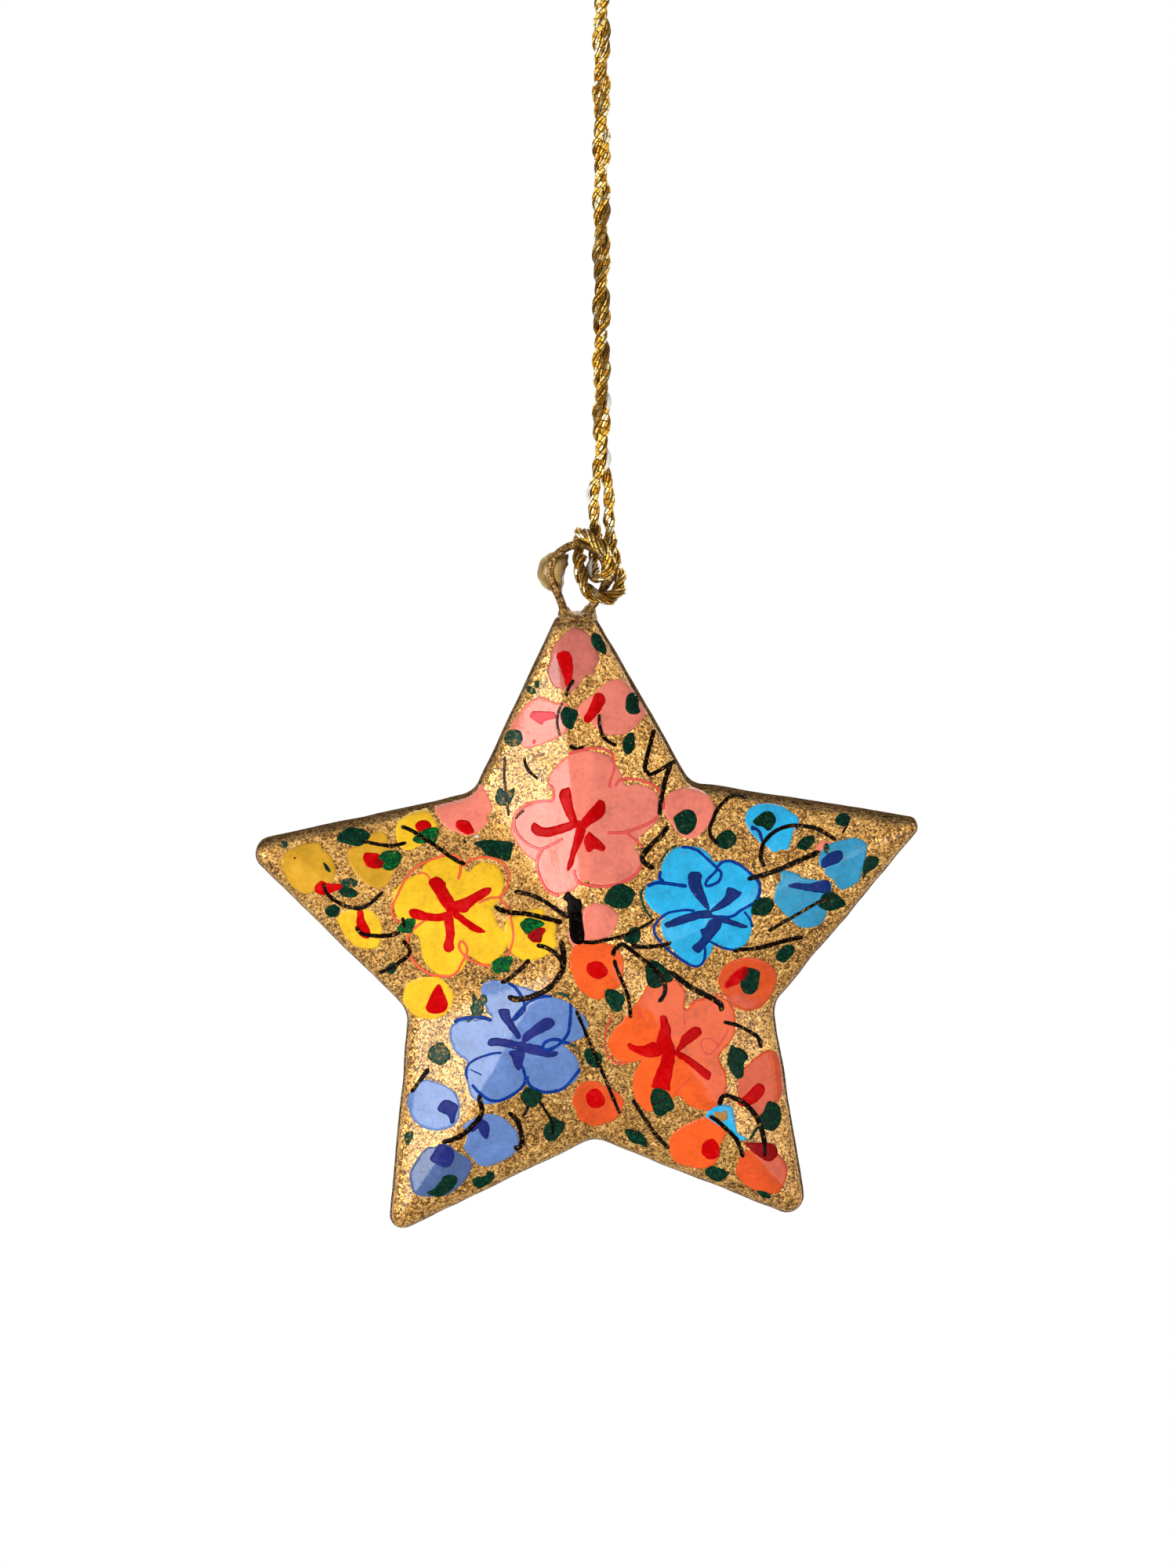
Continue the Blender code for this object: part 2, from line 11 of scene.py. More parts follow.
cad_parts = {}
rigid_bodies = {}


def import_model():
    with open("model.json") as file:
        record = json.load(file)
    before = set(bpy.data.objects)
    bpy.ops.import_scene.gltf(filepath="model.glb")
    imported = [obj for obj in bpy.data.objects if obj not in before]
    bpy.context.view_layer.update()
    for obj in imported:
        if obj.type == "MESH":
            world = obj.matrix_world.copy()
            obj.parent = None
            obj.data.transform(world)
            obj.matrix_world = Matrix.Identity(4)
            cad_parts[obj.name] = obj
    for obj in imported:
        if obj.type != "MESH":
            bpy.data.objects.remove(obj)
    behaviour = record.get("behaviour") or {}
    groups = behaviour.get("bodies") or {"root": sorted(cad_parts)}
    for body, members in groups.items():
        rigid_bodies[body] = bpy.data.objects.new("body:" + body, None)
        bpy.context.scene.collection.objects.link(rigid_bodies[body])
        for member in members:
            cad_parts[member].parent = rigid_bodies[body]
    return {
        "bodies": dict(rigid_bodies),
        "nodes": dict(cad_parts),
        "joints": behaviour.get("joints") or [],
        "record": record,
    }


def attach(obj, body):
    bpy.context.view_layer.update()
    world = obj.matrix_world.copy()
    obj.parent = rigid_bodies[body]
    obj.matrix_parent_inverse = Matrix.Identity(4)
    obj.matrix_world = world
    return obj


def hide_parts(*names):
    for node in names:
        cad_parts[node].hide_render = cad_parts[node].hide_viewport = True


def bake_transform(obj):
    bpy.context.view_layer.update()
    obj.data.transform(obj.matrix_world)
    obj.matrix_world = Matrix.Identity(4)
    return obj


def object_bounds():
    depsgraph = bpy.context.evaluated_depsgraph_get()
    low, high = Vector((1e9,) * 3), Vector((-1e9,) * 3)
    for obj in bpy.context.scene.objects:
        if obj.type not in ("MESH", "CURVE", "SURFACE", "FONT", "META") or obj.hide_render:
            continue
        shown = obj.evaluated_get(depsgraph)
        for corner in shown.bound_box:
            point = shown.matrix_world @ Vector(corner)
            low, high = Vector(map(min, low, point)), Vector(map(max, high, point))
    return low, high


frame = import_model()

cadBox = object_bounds()
mm = 0.001
scene = bpy.context.scene
scene.view_settings.view_transform = "Standard"
noise.seed_set(4)  # otherwise the clock seeds the vector noise that wavers the brush marks

# The photograph's frame in its own pixels, and the camera that gives it
photoView = {
    "width": 1500,
    "height": 2000,
    "mmPerPixel": 0.0893,  # at the middle of the star
    "elevation": 6.0,
    "distance": 1200.0,
    "lookAt": (-1.52, 0.0, -100.44),
    "sensor": 36.0,
}


def newPiece(name, data):
    piece = bpy.data.objects.new(name, data)
    scene.collection.objects.link(piece)
    return piece


def makeCamera():
    lift = math.radians(photoView["elevation"])
    back = Vector((0.0, -math.cos(lift), math.sin(lift)))
    lens = bpy.data.cameras.new("photoCamera")
    lens.sensor_width = photoView["sensor"]
    lens.lens = photoView["sensor"] * photoView["distance"] / (
        photoView["height"] * photoView["mmPerPixel"])
    lens.clip_start = 0.05
    lens.clip_end = 20.0
    eye = newPiece("photoCamera", lens)
    eye.location = (Vector(photoView["lookAt"]) + back * photoView["distance"]) * mm
    eye.rotation_euler = (math.radians(90 - photoView["elevation"]), 0.0, 0.0)
    scene.camera = eye
    return eye


photoCamera = makeCamera()


# The ray from the camera through a pixel of the photograph
def pixelRay(px, py):
    lift = math.radians(photoView["elevation"])
    across = (px - photoView["width"] / 2) * photoView["mmPerPixel"]
    up = (photoView["height"] / 2 - py) * photoView["mmPerPixel"]
    aim = Vector(photoView["lookAt"]) + Vector((across, up * math.sin(lift), up * math.cos(lift)))
    return photoCamera.location.copy(), (aim * mm - photoCamera.location).normalized()


# Small helpers for node trees
def addNode(tree, kind, **settings):
    node = tree.nodes.new(kind)
    for name, value in settings.items():
        setattr(node, name, value)
    return node


# Gives a socket a plain value, or a link from another node
def give(tree, socket, value):
    if isinstance(value, bpy.types.NodeSocket):
        tree.links.new(value, socket)
    elif value is not None:
        socket.default_value = (*value, 1.0) if socket.type == "RGBA" else value


def mathNode(tree, operation, first, second=None, clamp=False):
    node = addNode(tree, "ShaderNodeMath", operation=operation, use_clamp=clamp)
    give(tree, node.inputs[0], first)
    give(tree, node.inputs[1], second)
    return node.outputs[0]


def plus(tree, first, second):
    return mathNode(tree, "ADD", first, second)


def minus(tree, first, second, clamp=False):
    return mathNode(tree, "SUBTRACT", first, second, clamp)


def times(tree, first, second, clamp=False):
    return mathNode(tree, "MULTIPLY", first, second, clamp)


# The sum of several values, each times its own weight
def weighed(tree, *parts):
    total = None
    for value, weight in parts:
        part = times(tree, value, weight)
        total = part if total is None else plus(tree, total, part)
    return total


def vectorNode(tree, operation, first, second=None, scale=None):
    node = addNode(tree, "ShaderNodeVectorMath", operation=operation)
    give(tree, node.inputs[0], first)
    give(tree, node.inputs[1], second)
    if scale is not None:
        give(tree, node.inputs["Scale"], scale)
    return node.outputs["Value"] if operation in ("DOT_PRODUCT", "LENGTH") else node.outputs[0]


def attributeNode(tree, name):
    return addNode(tree, "ShaderNodeAttribute", attribute_name=name).outputs["Fac"]


def partsOf(tree, colour):
    node = addNode(tree, "ShaderNodeSeparateColor")
    tree.links.new(colour, node.inputs[0])
    return node.outputs


def noiseNode(tree, where, size, detail=2.0, roughness=0.5):
    node = addNode(tree, "ShaderNodeTexNoise")
    for name, value in (("Vector", where), ("Scale", 1.0 / (size * mm)), ("Detail", detail),
                        ("Roughness", roughness)):
        give(tree, node.inputs[name], value)
    return node.outputs["Fac"]


def cellNode(tree, where, size):
    node = addNode(tree, "ShaderNodeTexVoronoi")
    give(tree, node.inputs["Vector"], where)
    give(tree, node.inputs["Scale"], 1.0 / (size * mm))
    return node.outputs


# Stops are places with a colour each, or with a grey level
def rampNode(tree, value, stops, ease="LINEAR"):
    node = addNode(tree, "ShaderNodeValToRGB")
    node.color_ramp.interpolation = ease
    steps = node.color_ramp.elements
    while len(steps) < len(stops):
        steps.new(0.5)
    for step, (place, colour) in zip(steps, stops):
        step.position = place
        step.color = (*(colour if isinstance(colour, tuple) else [colour] * 3), 1.0)
    tree.links.new(value, node.inputs["Fac"])
    return node.outputs["Color"]


def mixColours(tree, share, first, second):
    node = addNode(tree, "ShaderNodeMix", data_type="RGBA")
    for place, value in ((0, share), (6, first), (7, second)):
        give(tree, node.inputs[place], value)
    return node.outputs[2]


def bumpNode(tree, height, reach, strength=1.0, normal=None):
    node = addNode(tree, "ShaderNodeBump")
    for name, value in (("Strength", strength), ("Distance", reach * mm), ("Height", height),
                        ("Normal", normal)):
        give(tree, node.inputs[name], value)
    return node.outputs["Normal"]


def newFinish(name, roughness=0.5, metallic=0.0, coat=0.0, coatRoughness=0.1, specular=0.5):
    finish = bpy.data.materials.new(name)
    finish.use_nodes = True
    tree = finish.node_tree
    shader = tree.nodes["Principled BSDF"]
    for socket, value in (("Roughness", roughness), ("Metallic", metallic), ("Coat Weight", coat),
                          ("Coat Roughness", coatRoughness), ("Specular IOR Level", specular)):
        shader.inputs[socket].default_value = value
    return finish, tree, shader, addNode(tree, "ShaderNodeTexCoord").outputs["Object"]


# Where each lamp stands, in metres from the middle of the star, its sides and its power in watts
lamps = {
    "keyLamp": {"place": (-0.75, -0.66, 0.06), "wide": 0.36, "tall": 0.54, "power": 6.0},
    "fillLamp": {"place": (0.72, -0.82, -0.22), "wide": 0.80, "tall": 0.80, "power": 4.6},
    "backLamp": {"place": (0.20, 0.90, 0.55), "wide": 0.60, "tall": 0.60, "power": 3.0},
}
studio = {
    "skyLight": 0.47,
    "floorDrop": 0.30,  # metres below the star
    "floorReach": 1.3,
    "clearReach": 0.45,  # the floor shows its shadow up to here, and whitens beyond
    "whitening": 0.6,
    "pale": (0.95, 0.95, 0.94),
}


def makeLamp(name, spec, middle):
    lamp = bpy.data.lights.new(name, "AREA")
    lamp.shape = "RECTANGLE"
    lamp.size = spec["wide"]
    lamp.size_y = spec["tall"]
    lamp.energy = spec["power"]
    stand = newPiece(name, lamp)
    stand.location = middle + Vector(spec["place"])
    stand.rotation_euler = (middle - stand.location).to_track_quat("-Z", "Y").to_euler()


def mixShaders(tree, share, first, second):
    mix = addNode(tree, "ShaderNodeMixShader")
    for place, value in enumerate((share, first.outputs[0], second.outputs[0])):
        tree.links.new(value, mix.inputs[place])
    return mix


def emptyTree(owner):
    owner.use_nodes = True
    owner.node_tree.nodes.clear()
    return owner.node_tree


# White for the camera and in reflections, and a plain level of light on everything else
def seenWhite(tree, plain, white):
    path = addNode(tree, "ShaderNodeLightPath")
    seen = mathNode(tree, "MAXIMUM", path.outputs["Is Camera Ray"], path.outputs["Is Glossy Ray"])
    seen = mathNode(tree, "MAXIMUM", seen, path.outputs["Is Transmission Ray"])
    give(tree, white.inputs["Color"], (1.0, 1.0, 1.0))
    give(tree, white.inputs["Strength"], 1.0)
    return mixShaders(tree, seen, plain, white)


def makeStudio():
    middle = Vector(photoView["lookAt"]) * mm
    for name, spec in lamps.items():
        makeLamp(name, spec, middle)
    scene.world = bpy.data.worlds.new("paleStudio")
    tree = emptyTree(scene.world)
    soft = addNode(tree, "ShaderNodeBackground")
    soft.inputs["Strength"].default_value = studio["skyLight"]
    mix = seenWhite(tree, soft, addNode(tree, "ShaderNodeBackground"))
    tree.links.new(mix.outputs[0], addNode(tree, "ShaderNodeOutputWorld").inputs["Surface"])

    # The floor is a round sheet below the star, matte where the shadow falls and white towards its rim
    bpy.ops.mesh.primitive_circle_add(vertices=96, radius=studio["floorReach"], fill_type="NGON")
    floor = bpy.context.object
    floor.name = "studioFloor"
    floor.location = (0.0, 0.0, cadBox[0].z - studio["floorDrop"])
    paint = bpy.data.materials.new("paleFloor")
    tree = emptyTree(paint)
    matte = addNode(tree, "ShaderNodeBsdfDiffuse")
    give(tree, matte.inputs["Color"], studio["pale"])
    mix = seenWhite(tree, matte, addNode(tree, "ShaderNodeEmission"))
    out = vectorNode(tree, "LENGTH", addNode(tree, "ShaderNodeTexCoord").outputs["Object"])
    towards = mathNode(tree, "DIVIDE", minus(tree, out, studio["clearReach"]),
                       studio["floorReach"] - studio["clearReach"], clamp=True)
    fade = mixShaders(tree, mathNode(tree, "POWER", towards, studio["whitening"]), matte, mix)
    tree.links.new(fade.outputs[0], addNode(tree, "ShaderNodeOutputMaterial").inputs["Surface"])
    floor.data.materials.append(paint)


makeStudio()
print("studio: camera, %d lamps, floor" % len(lamps))


# Paint and lacquer lie over the same rough paper everywhere: lumps, grain and tiny pits
paperGrain = {"lump": 2.4, "grain": 0.75, "tooth": 0.32, "height": 0.22}


def paperBump(tree, where, strength=1.0):
    lumps = noiseNode(tree, where, paperGrain["lump"])
    grain = noiseNode(tree, where, paperGrain["grain"], 3.0, 0.6)
    tooth = noiseNode(tree, where, paperGrain["tooth"])
    height = weighed(tree, (lumps, 0.50), (grain, 0.36), (tooth, 0.12))
    return bumpNode(tree, height, paperGrain["height"], strength)


# Gold flake paint: each flake of mica powder has its own tilt and brightness. The clear coat thins out
# towards the edge of the shell, and there painted shade darkens the gold to brown, most where the edge faces
# up
goldPaint = {
    "flake": 0.22,
    "fineFlake": 0.12,
    "dark": (0.030, 0.012, 0.003),
    "shade": (0.212, 0.094, 0.017),
    "body": (0.500, 0.232, 0.043),
    "light": (0.800, 0.420, 0.098),
    "glint": (1.0, 0.76, 0.33),
    "tilt": 0.55,
    "patch": 5.5,
    "brushed": 0.7,
    "coat": 0.44,
    "shadeRaggedness": 1.4,  # how ragged the painted shade's edges are
    # the tones of the painted shade on the gold
    "pooled": ((0.28, (0.060, 0.030, 0.012)), (0.55, (0.235, 0.130, 0.042)), (0.80, (0.58, 0.35, 0.12))),
}


def flakeShade(tree, where):
    flakes = cellNode(tree, where, goldPaint["flake"])
    fine = cellNode(tree, where, goldPaint["fineFlake"])
    bright = partsOf(tree, flakes["Color"])
    patches = noiseNode(tree, where, goldPaint["patch"], 3.0, 0.6)
    brushed = noiseNode(tree, vectorNode(tree, "MULTIPLY", where, (1.0, 1.0, 0.28)), goldPaint["brushed"])
    total = weighed(tree, (bright[0], 0.50), (partsOf(tree, fine["Color"])[1], 0.34), (patches, 0.30),
                    (brushed, 0.26))
    return minus(tree, total, 0.18, clamp=True), flakes, bright


def goldFinish():
    finish, tree, shader, where = newFinish("goldFlakePaint", coatRoughness=0.16, specular=0.0)
    shade, flakes, bright = flakeShade(tree, where)
    colour = rampNode(tree, shade, [(place, goldPaint[tone]) for place, tone in (
        (0.15, "dark"), (0.38, "shade"), (0.52, "body"), (0.68, "light"), (0.92, "glint"))])
    # painted shade: near the shell's edge, most where the edge faces up, the gold turns dark brown and less
    # metallic, with ragged edges
    ragged = plus(tree, attributeNode(tree, "pooled"),
                  times(tree, minus(tree, noiseNode(tree, where, goldPaint["shadeRaggedness"], 3.0, 0.65), 0.5), 0.5))
    pooled = rampNode(tree, ragged, ((0.25, 0.0), (0.80, 1.0)))
    shadedGold = rampNode(tree, shade, goldPaint["pooled"])
    tilted = vectorNode(tree, "NORMALIZE", vectorNode(
        tree, "ADD", addNode(tree, "ShaderNodeNewGeometry").outputs["Normal"],
        vectorNode(tree, "SCALE", vectorNode(tree, "SUBTRACT", flakes["Color"], (0.5, 0.5, 0.5)),
                   scale=goldPaint["tilt"])))
    lumps = noiseNode(tree, where, paperGrain["grain"], 3.0, 0.6)
    for name, value in (
            ("Base Color", mixColours(tree, times(tree, pooled, 0.9), colour, shadedGold)),
            ("Metallic", times(tree, minus(tree, 1.0, pooled), 0.85)),
            ("Coat Weight", times(tree, minus(tree, 1.0, attributeNode(tree, "rim")), goldPaint["coat"])),
            ("Roughness", rampNode(tree, bright[2], ((0.0, 0.26), (1.0, 0.58)))),
            ("Normal", bumpNode(tree, lumps, 0.10, 1.0, tilted)),
            ("Coat Normal", paperBump(tree, where, 0.6))):
        tree.links.new(value, shader.inputs[name])
    return finish


# The pasted strip: dark brown paint as painted shade, grey-white in worn patches and as painted sheen where
# it faces up
stripPaint = {
    # painted shade: the strip's paint is dark brown
    "paint": ((0.20, (0.022, 0.011, 0.005)), (0.50, (0.115, 0.060, 0.022)), (0.85, (0.42, 0.25, 0.10))),
    "paper": ((0.34, (0.24, 0.17, 0.11)), (0.46, (0.55, 0.49, 0.41)), (0.64, (0.86, 0.83, 0.77))),
    "wearAndSheen": 4.2,
    "fibre": 0.45,
    "rubbedAndSheen": ((1.02, 0.0), (1.12, 1.0)),
}


def stripFinish():
    finish, tree, shader, where = newFinish("wornEdgePaint", roughness=0.62, specular=0.0)
    shade = flakeShade(tree, where)[0]
    grain = noiseNode(tree, where, stripPaint["fibre"], 4.0, 0.7)
    # painted shade: the strip's paint is dark brown
    paint = rampNode(tree, shade, stripPaint["paint"])
    paper = rampNode(tree, grain, stripPaint["paper"])
    # grey-white shows in random worn patches, and as a painted sheen where the edge faces up
    wearAndSheen = weighed(tree, (noiseNode(tree, where, stripPaint["wearAndSheen"], 3.0, 0.6), 0.95), (grain, 0.45),
                   (attributeNode(tree, "upward"), 0.42))
    bare = rampNode(tree, wearAndSheen, stripPaint["rubbedAndSheen"])
    tree.links.new(mixColours(tree, bare, paint, paper), shader.inputs["Base Color"])
    tree.links.new(paperBump(tree, where), shader.inputs["Normal"])
    return finish


finishes = {"gold": goldFinish(), "strip": stripFinish()}


# The star, as in part.py, in millimetres: the arms go anticlockwise from the top one
star = {
    "armReach": 41.0,
    "innerReach": 21.9,
    "handArmReach": (0.8, 0.4, -0.4, -0.6, -0.1),
    "handArmTurn": (0.4, -0.4, -0.7, 0.2, 0.5),
    "handInnerTurn": (-0.8, -0.5, -0.7, -1.5, 2.0),
    "flatEnd": 4.36,
    "tipRounds": (1.8, 1.7, 1.5, 1.9, 0.95),  # tip by tip
    "waver": 0.20,
    "waverSize": 3.6,
    "ridgeRound": 0.6,
    "ridgeSoften": 6.0,  # how much rounder the ridges are near the middle
    "innerRound": 3.0,
    "valleyRound": 6.0,
    "endRound": 0.9,
    "sideHeight": 7.0,
    "domeRise": 8.5,
    "middleReach": 0.24,  # the facets' slope fades out over this share of the way
    "facetPuff": 0.25,
    "edgeRound": 1.6,
    "rimReach": 0.512,  # how far in the coat thins and the painted shade lies, and how much farther where the edge faces up
    "rimReachUp": 0.32,
    "sideShade": 0.12,  # how much of the painted shade lies on edges that don't face up
    "wall": 1.6,
    "hollowRise": 0.15,
    "skinInset": 0.22,  # the pasted strip stands this far out from the skin
    "seamGap": 0.3,
    "middle": -1.35,
    "eyeDrop": 73.5,
    "endDrop": 7.8,
    "lean": 2.1,
    "cornerSteps": 14,
    "edgeSteps": 30,
    "sideRings": 7,
    "edgeRings": 6,
    "facetRings": 46,
}


def polar(reach, degrees):
    return Vector((reach * math.cos(math.radians(degrees)), reach * math.sin(math.radians(degrees))))


def armTip(arm):
    return polar(star["armReach"] + star["handArmReach"][arm], 90 + 72 * arm + star["handArmTurn"][arm])


def innerCorner(arm):
    return polar(star["innerReach"], 126 + 72 * arm + star["handInnerTurn"][arm])


def edgeDistance():
    tip = polar(star["armReach"], 90)
    corner = polar(star["innerReach"], 126)
    return abs(tip.x * corner.y - tip.y * corner.x) / (tip - corner).length


def endHeight():
    tip = armTip(0)
    narrowing = sum(abs((corner.x - tip.x) / (corner.y - tip.y))
                    for corner in (innerCorner(0), innerCorner(-1)))
    return tip.y - star["flatEnd"] / narrowing


edgeReach = edgeDistance()
endTop = endHeight()
starHeight = -(star["eyeDrop"] + star["endDrop"] + endTop)
starFrame = (Matrix.Translation(Vector((star["middle"], 0.0, starHeight)) * mm)
             @ Matrix.Rotation(math.radians(-star["lean"]), 4, "Y"))


# An arc in place of a sharp corner
def roundCorner(before, corner, after, radius, steps):
    back = (before - corner).normalized()
    ahead = (after - corner).normalized()
    half = back.angle(ahead) / 2
    centre = corner + (back + ahead).normalized() * radius / math.sin(half)
    start = corner + back * radius / math.tan(half) - centre
    turn = start.angle_signed(corner + ahead * radius / math.tan(half) - centre)
    return [centre + Matrix.Rotation(-turn * step / steps, 2) @ start for step in range(steps + 1)]


# The outline drawn in by an inset, with the same count of points at every inset
def starOutline(inset):
    scale = 1 - inset / edgeReach
    ridge = star["ridgeRound"] + star["ridgeSoften"] * (1 - scale) ** 2.5
    tipRounds = [max(tip - inset, min(ridge, 9.0 * scale)) for tip in star["tipRounds"]]
    innerRound = min(star["innerRound"] + inset, star["valleyRound"] * scale)
    top = armTip(0)
    ends = [corner.lerp(top, (endTop - corner.y) / (top.y - corner.y)) * scale
            for corner in (innerCorner(0), innerCorner(-1))]
    corners = [(ends[0], star["endRound"] * scale)]
    for arm in range(5):
        if arm:
            corners.append((armTip(arm) * scale, tipRounds[arm]))
        corners.append((innerCorner(arm) * scale, innerRound))
    corners.append((ends[1], star["endRound"] * scale))
    arcs = [roundCorner(corners[index - 1][0], corner, corners[(index + 1) % len(corners)][0],
                        radius, star["cornerSteps"])
            for index, (corner, radius) in enumerate(corners)]
    outline = []
    for arc, following in zip(arcs, [*arcs[1:], arcs[0]]):
        outline += arc
        outline += [arc[-1].lerp(following[0], step / star["edgeSteps"])
                    for step in range(1, star["edgeSteps"])]
    outline = np.array([(point.x, point.y) for point in outline])
    out = outline / np.linalg.norm(outline, axis=1)[:, None]
    waver = [noise.noise(Vector((*way, 0.0)) * edgeReach / star["waverSize"]) for way in out]
    return outline + out * np.array(waver)[:, None] * star["waver"] * scale ** 3


def facetHeight(inset):
    share = inset / edgeReach
    near = max(0.0, share - 1 + star["middleReach"])
    flat = near ** 2 / (2 * star["middleReach"]) if share < 1 else star["middleReach"] / 2
    return (star["sideHeight"] / 2 + star["domeRise"] * (share - flat)
            + star["facetPuff"] * math.sin(math.pi * share))


# Insets and heights of one half, from the seam up the side, over the edge and up the facets
def halfSection(inset):
    slope = math.atan2(star["domeRise"], edgeReach)
    edge = star["edgeRound"]
    top = (star["sideHeight"] / 2 + star["domeRise"] * inset / edgeReach
           - edge * (1 - math.sin(slope)) / math.cos(slope))
    low = star["seamGap"] / 2
    rings = [(inset, low + (top - low) * step / star["sideRings"]) for step in range(star["sideRings"])]
    for step in range(star["edgeRings"] + 1):
        angle = math.pi - (math.pi / 2 - slope) * step / star["edgeRings"]
        rings.append((inset + edge * (1 + math.cos(angle)), top + edge * math.sin(angle)))
    start = rings[-1][0]
    for step in range(1, star["facetRings"] + 1):
        reach = start + (edgeReach - start) * step / (star["facetRings"] + 0.4)
        rings.append((reach, facetHeight(reach)))
    return rings


def innerSection():
    rim = star["skinInset"] + star["wall"]
    drop = star["wall"] * math.hypot(star["domeRise"], edgeReach) / edgeReach
    rings = [(rim, star["seamGap"] / 2)]
    for share in (0.0, 0.25, 0.5, 0.75, 0.98):
        reach = rim + (edgeReach - rim) * share
        rings.append((reach, facetHeight(reach) - drop))
    return rings


# How far the outline faces up, and a little to the left, at each of its points
def facingUp(outline):
    ahead = np.roll(outline, -1, axis=0) - np.roll(outline, 1, axis=0)
    ahead /= np.linalg.norm(ahead, axis=1)[:, None]
    return np.clip((-ahead[:, 0] - 0.3 * ahead[:, 1] - 0.5) / 0.4, 0.0, 1.0)


# Faces between loops that follow each other
def joinLoops(shape, loops):
    for before, after in zip(loops, loops[1:]):
        for index in range(len(before)):
            following = (index + 1) % len(before)
            shape.faces.new((before[index], before[following], after[following], after[index]))


def fanLoop(shape, loop, place):
    middle = shape.verts.new(place)
    for index in range(len(loop)):
        shape.faces.new((loop[index], loop[(index + 1) % len(loop)], middle))


# A plain smooth piece from a worked shape, turned into the star's frame where frame is given
def shapedPiece(name, shape, frame=None):
    bmesh.ops.recalc_face_normals(shape, faces=shape.faces)
    if frame:
        shape.transform(frame)
    mesh = bpy.data.meshes.new(name)
    shape.to_mesh(mesh)
    shape.free()
    mesh.shade_smooth()
    return newPiece(name, mesh)


# A closed skin through drawn-in outlines, from one middle point to the other
def loftHalf(name, side):
    outer = halfSection(star["skinInset"])
    inner = innerSection()
    shape = bmesh.new()
    rim = shape.verts.layers.float.new("rim")
    pooled = shape.verts.layers.float.new("pooled")
    loops = []
    for inset, height in [*reversed(outer), *inner]:
        outline = starOutline(inset)
        loops.append([shape.verts.new((x * mm, side * height * mm, z * mm)) for x, z in outline])
        # painted shade: the gold near the edge is darkened, more where the edge faces up
        for corner, up in zip(loops[-1], facingUp(outline)):
            reach = star["rimReach"] + star["rimReachUp"] * up
            corner[rim] = min(1.0, max(0.0, 1.0 - (inset - star["skinInset"]) / reach))
            corner[pooled] = corner[rim] * (star["sideShade"] + (1 - star["sideShade"]) * up)
    joinLoops(shape, loops)
    for loop, height in ((loops[0], facetHeight(edgeReach)), (loops[-1], inner[-1][1] + star["hollowRise"])):
        fanLoop(shape, loop, (0.0, side * height * mm, 0.0))
    return shapedPiece(name, shape, starFrame)


# A Geometry Nodes tree that takes a geometry, the named inputs and a finish
def newTree(name, inputs):
    tree = bpy.data.node_groups.new(name, "GeometryNodeTree")
    for label, kind in (("Geometry", "Geometry"), *inputs, ("Finish", "Material")):
        tree.interface.new_socket(label, in_out="INPUT", socket_type="NodeSocket" + kind)
    tree.interface.new_socket("Geometry", in_out="OUTPUT", socket_type="NodeSocketGeometry")
    return tree, addNode(tree, "NodeGroupInput").outputs


def endTree(tree, shape, finish):
    whole = addNode(tree, "GeometryNodeRealizeInstances")
    dressed = addNode(tree, "GeometryNodeSetMaterial")
    tree.links.new(shape, whole.inputs[0])
    tree.links.new(whole.outputs[0], dressed.inputs["Geometry"])
    tree.links.new(finish, dressed.inputs["Material"])
    tree.links.new(dressed.outputs[0], addNode(tree, "NodeGroupOutput").inputs[0])


# Geometry Nodes that press a surface out and in as hand-laid pulp does, lumps first, then grain
paperRelief = {"Lump height": 0.16, "Lump size": 7.5, "Dent height": 0.07, "Dent size": 2.6,
               "Grain height": 0.035, "Grain size": 1.1}


def reliefTree():
    tree, given = newTree("paperRelief", [(name, "Float") for name in (*paperRelief, "Seed")])
    for item in tree.interface.items_tree:
        if item.name in paperRelief:
            item.default_value = paperRelief[item.name]
    place = addNode(tree, "GeometryNodeInputPosition").outputs[0]
    total = None
    for layer in ("Lump", "Dent", "Grain"):
        texture = addNode(tree, "ShaderNodeTexNoise", noise_dimensions="4D")
        for name, value in (("Vector", place), ("W", given["Seed"]),
                            ("Scale", mathNode(tree, "DIVIDE", 1 / mm, given[layer + " size"]))):
            tree.links.new(value, texture.inputs[name])
        swing = times(tree, minus(tree, texture.outputs[0], 0.5), 2 * mm)
        height = times(tree, swing, given[layer + " height"])
        total = height if total is None else plus(tree, total, height)
    outwards = addNode(tree, "GeometryNodeInputNormal").outputs[0]
    moved = addNode(tree, "GeometryNodeSetPosition")
    tree.links.new(given["Geometry"], moved.inputs["Geometry"])
    tree.links.new(vectorNode(tree, "SCALE", outwards, scale=total), moved.inputs["Offset"])
    endTree(tree, moved.outputs[0], given["Finish"])
    return tree


# Runs a tree on a piece with the given inputs, and leaves a plain mesh under the piece's name
def settle(piece, tree=None, inputs=None):
    if tree:
        modifier = piece.modifiers.new(tree.name, "NODES")
        modifier.node_group = tree
        sockets = {item.name: item.identifier for item in tree.interface.items_tree
                   if item.in_out == "INPUT"}
        for name, value in (inputs or {}).items():
            modifier[sockets[name]] = value
    bpy.context.view_layer.update()
    mesh = bpy.data.meshes.new_from_object(piece.evaluated_get(bpy.context.evaluated_depsgraph_get()))
    name = piece.name
    bpy.data.objects.remove(piece)
    mesh.name = name
    return newPiece(name, mesh)


def storeValues(mesh, name, values):
    mesh.attributes.new(name, "FLOAT", "POINT").data.foreach_set("value", values)


relief = reliefTree()
starFront = settle(loftHalf("starFront", -1), relief, {"Seed": 1.0, "Finish": finishes["gold"]})
starBack = settle(loftHalf("starBack", 1), relief, {"Seed": 1.0, "Finish": finishes["gold"]})
for piece, node, slot in ((starFront, "front_shell", "painted_front"),
                          (starBack, "back_shell", "painted_back")):
    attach(piece, "star")
    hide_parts(node)
print("star: two skins of %d faces" % len(starFront.data.polygons))


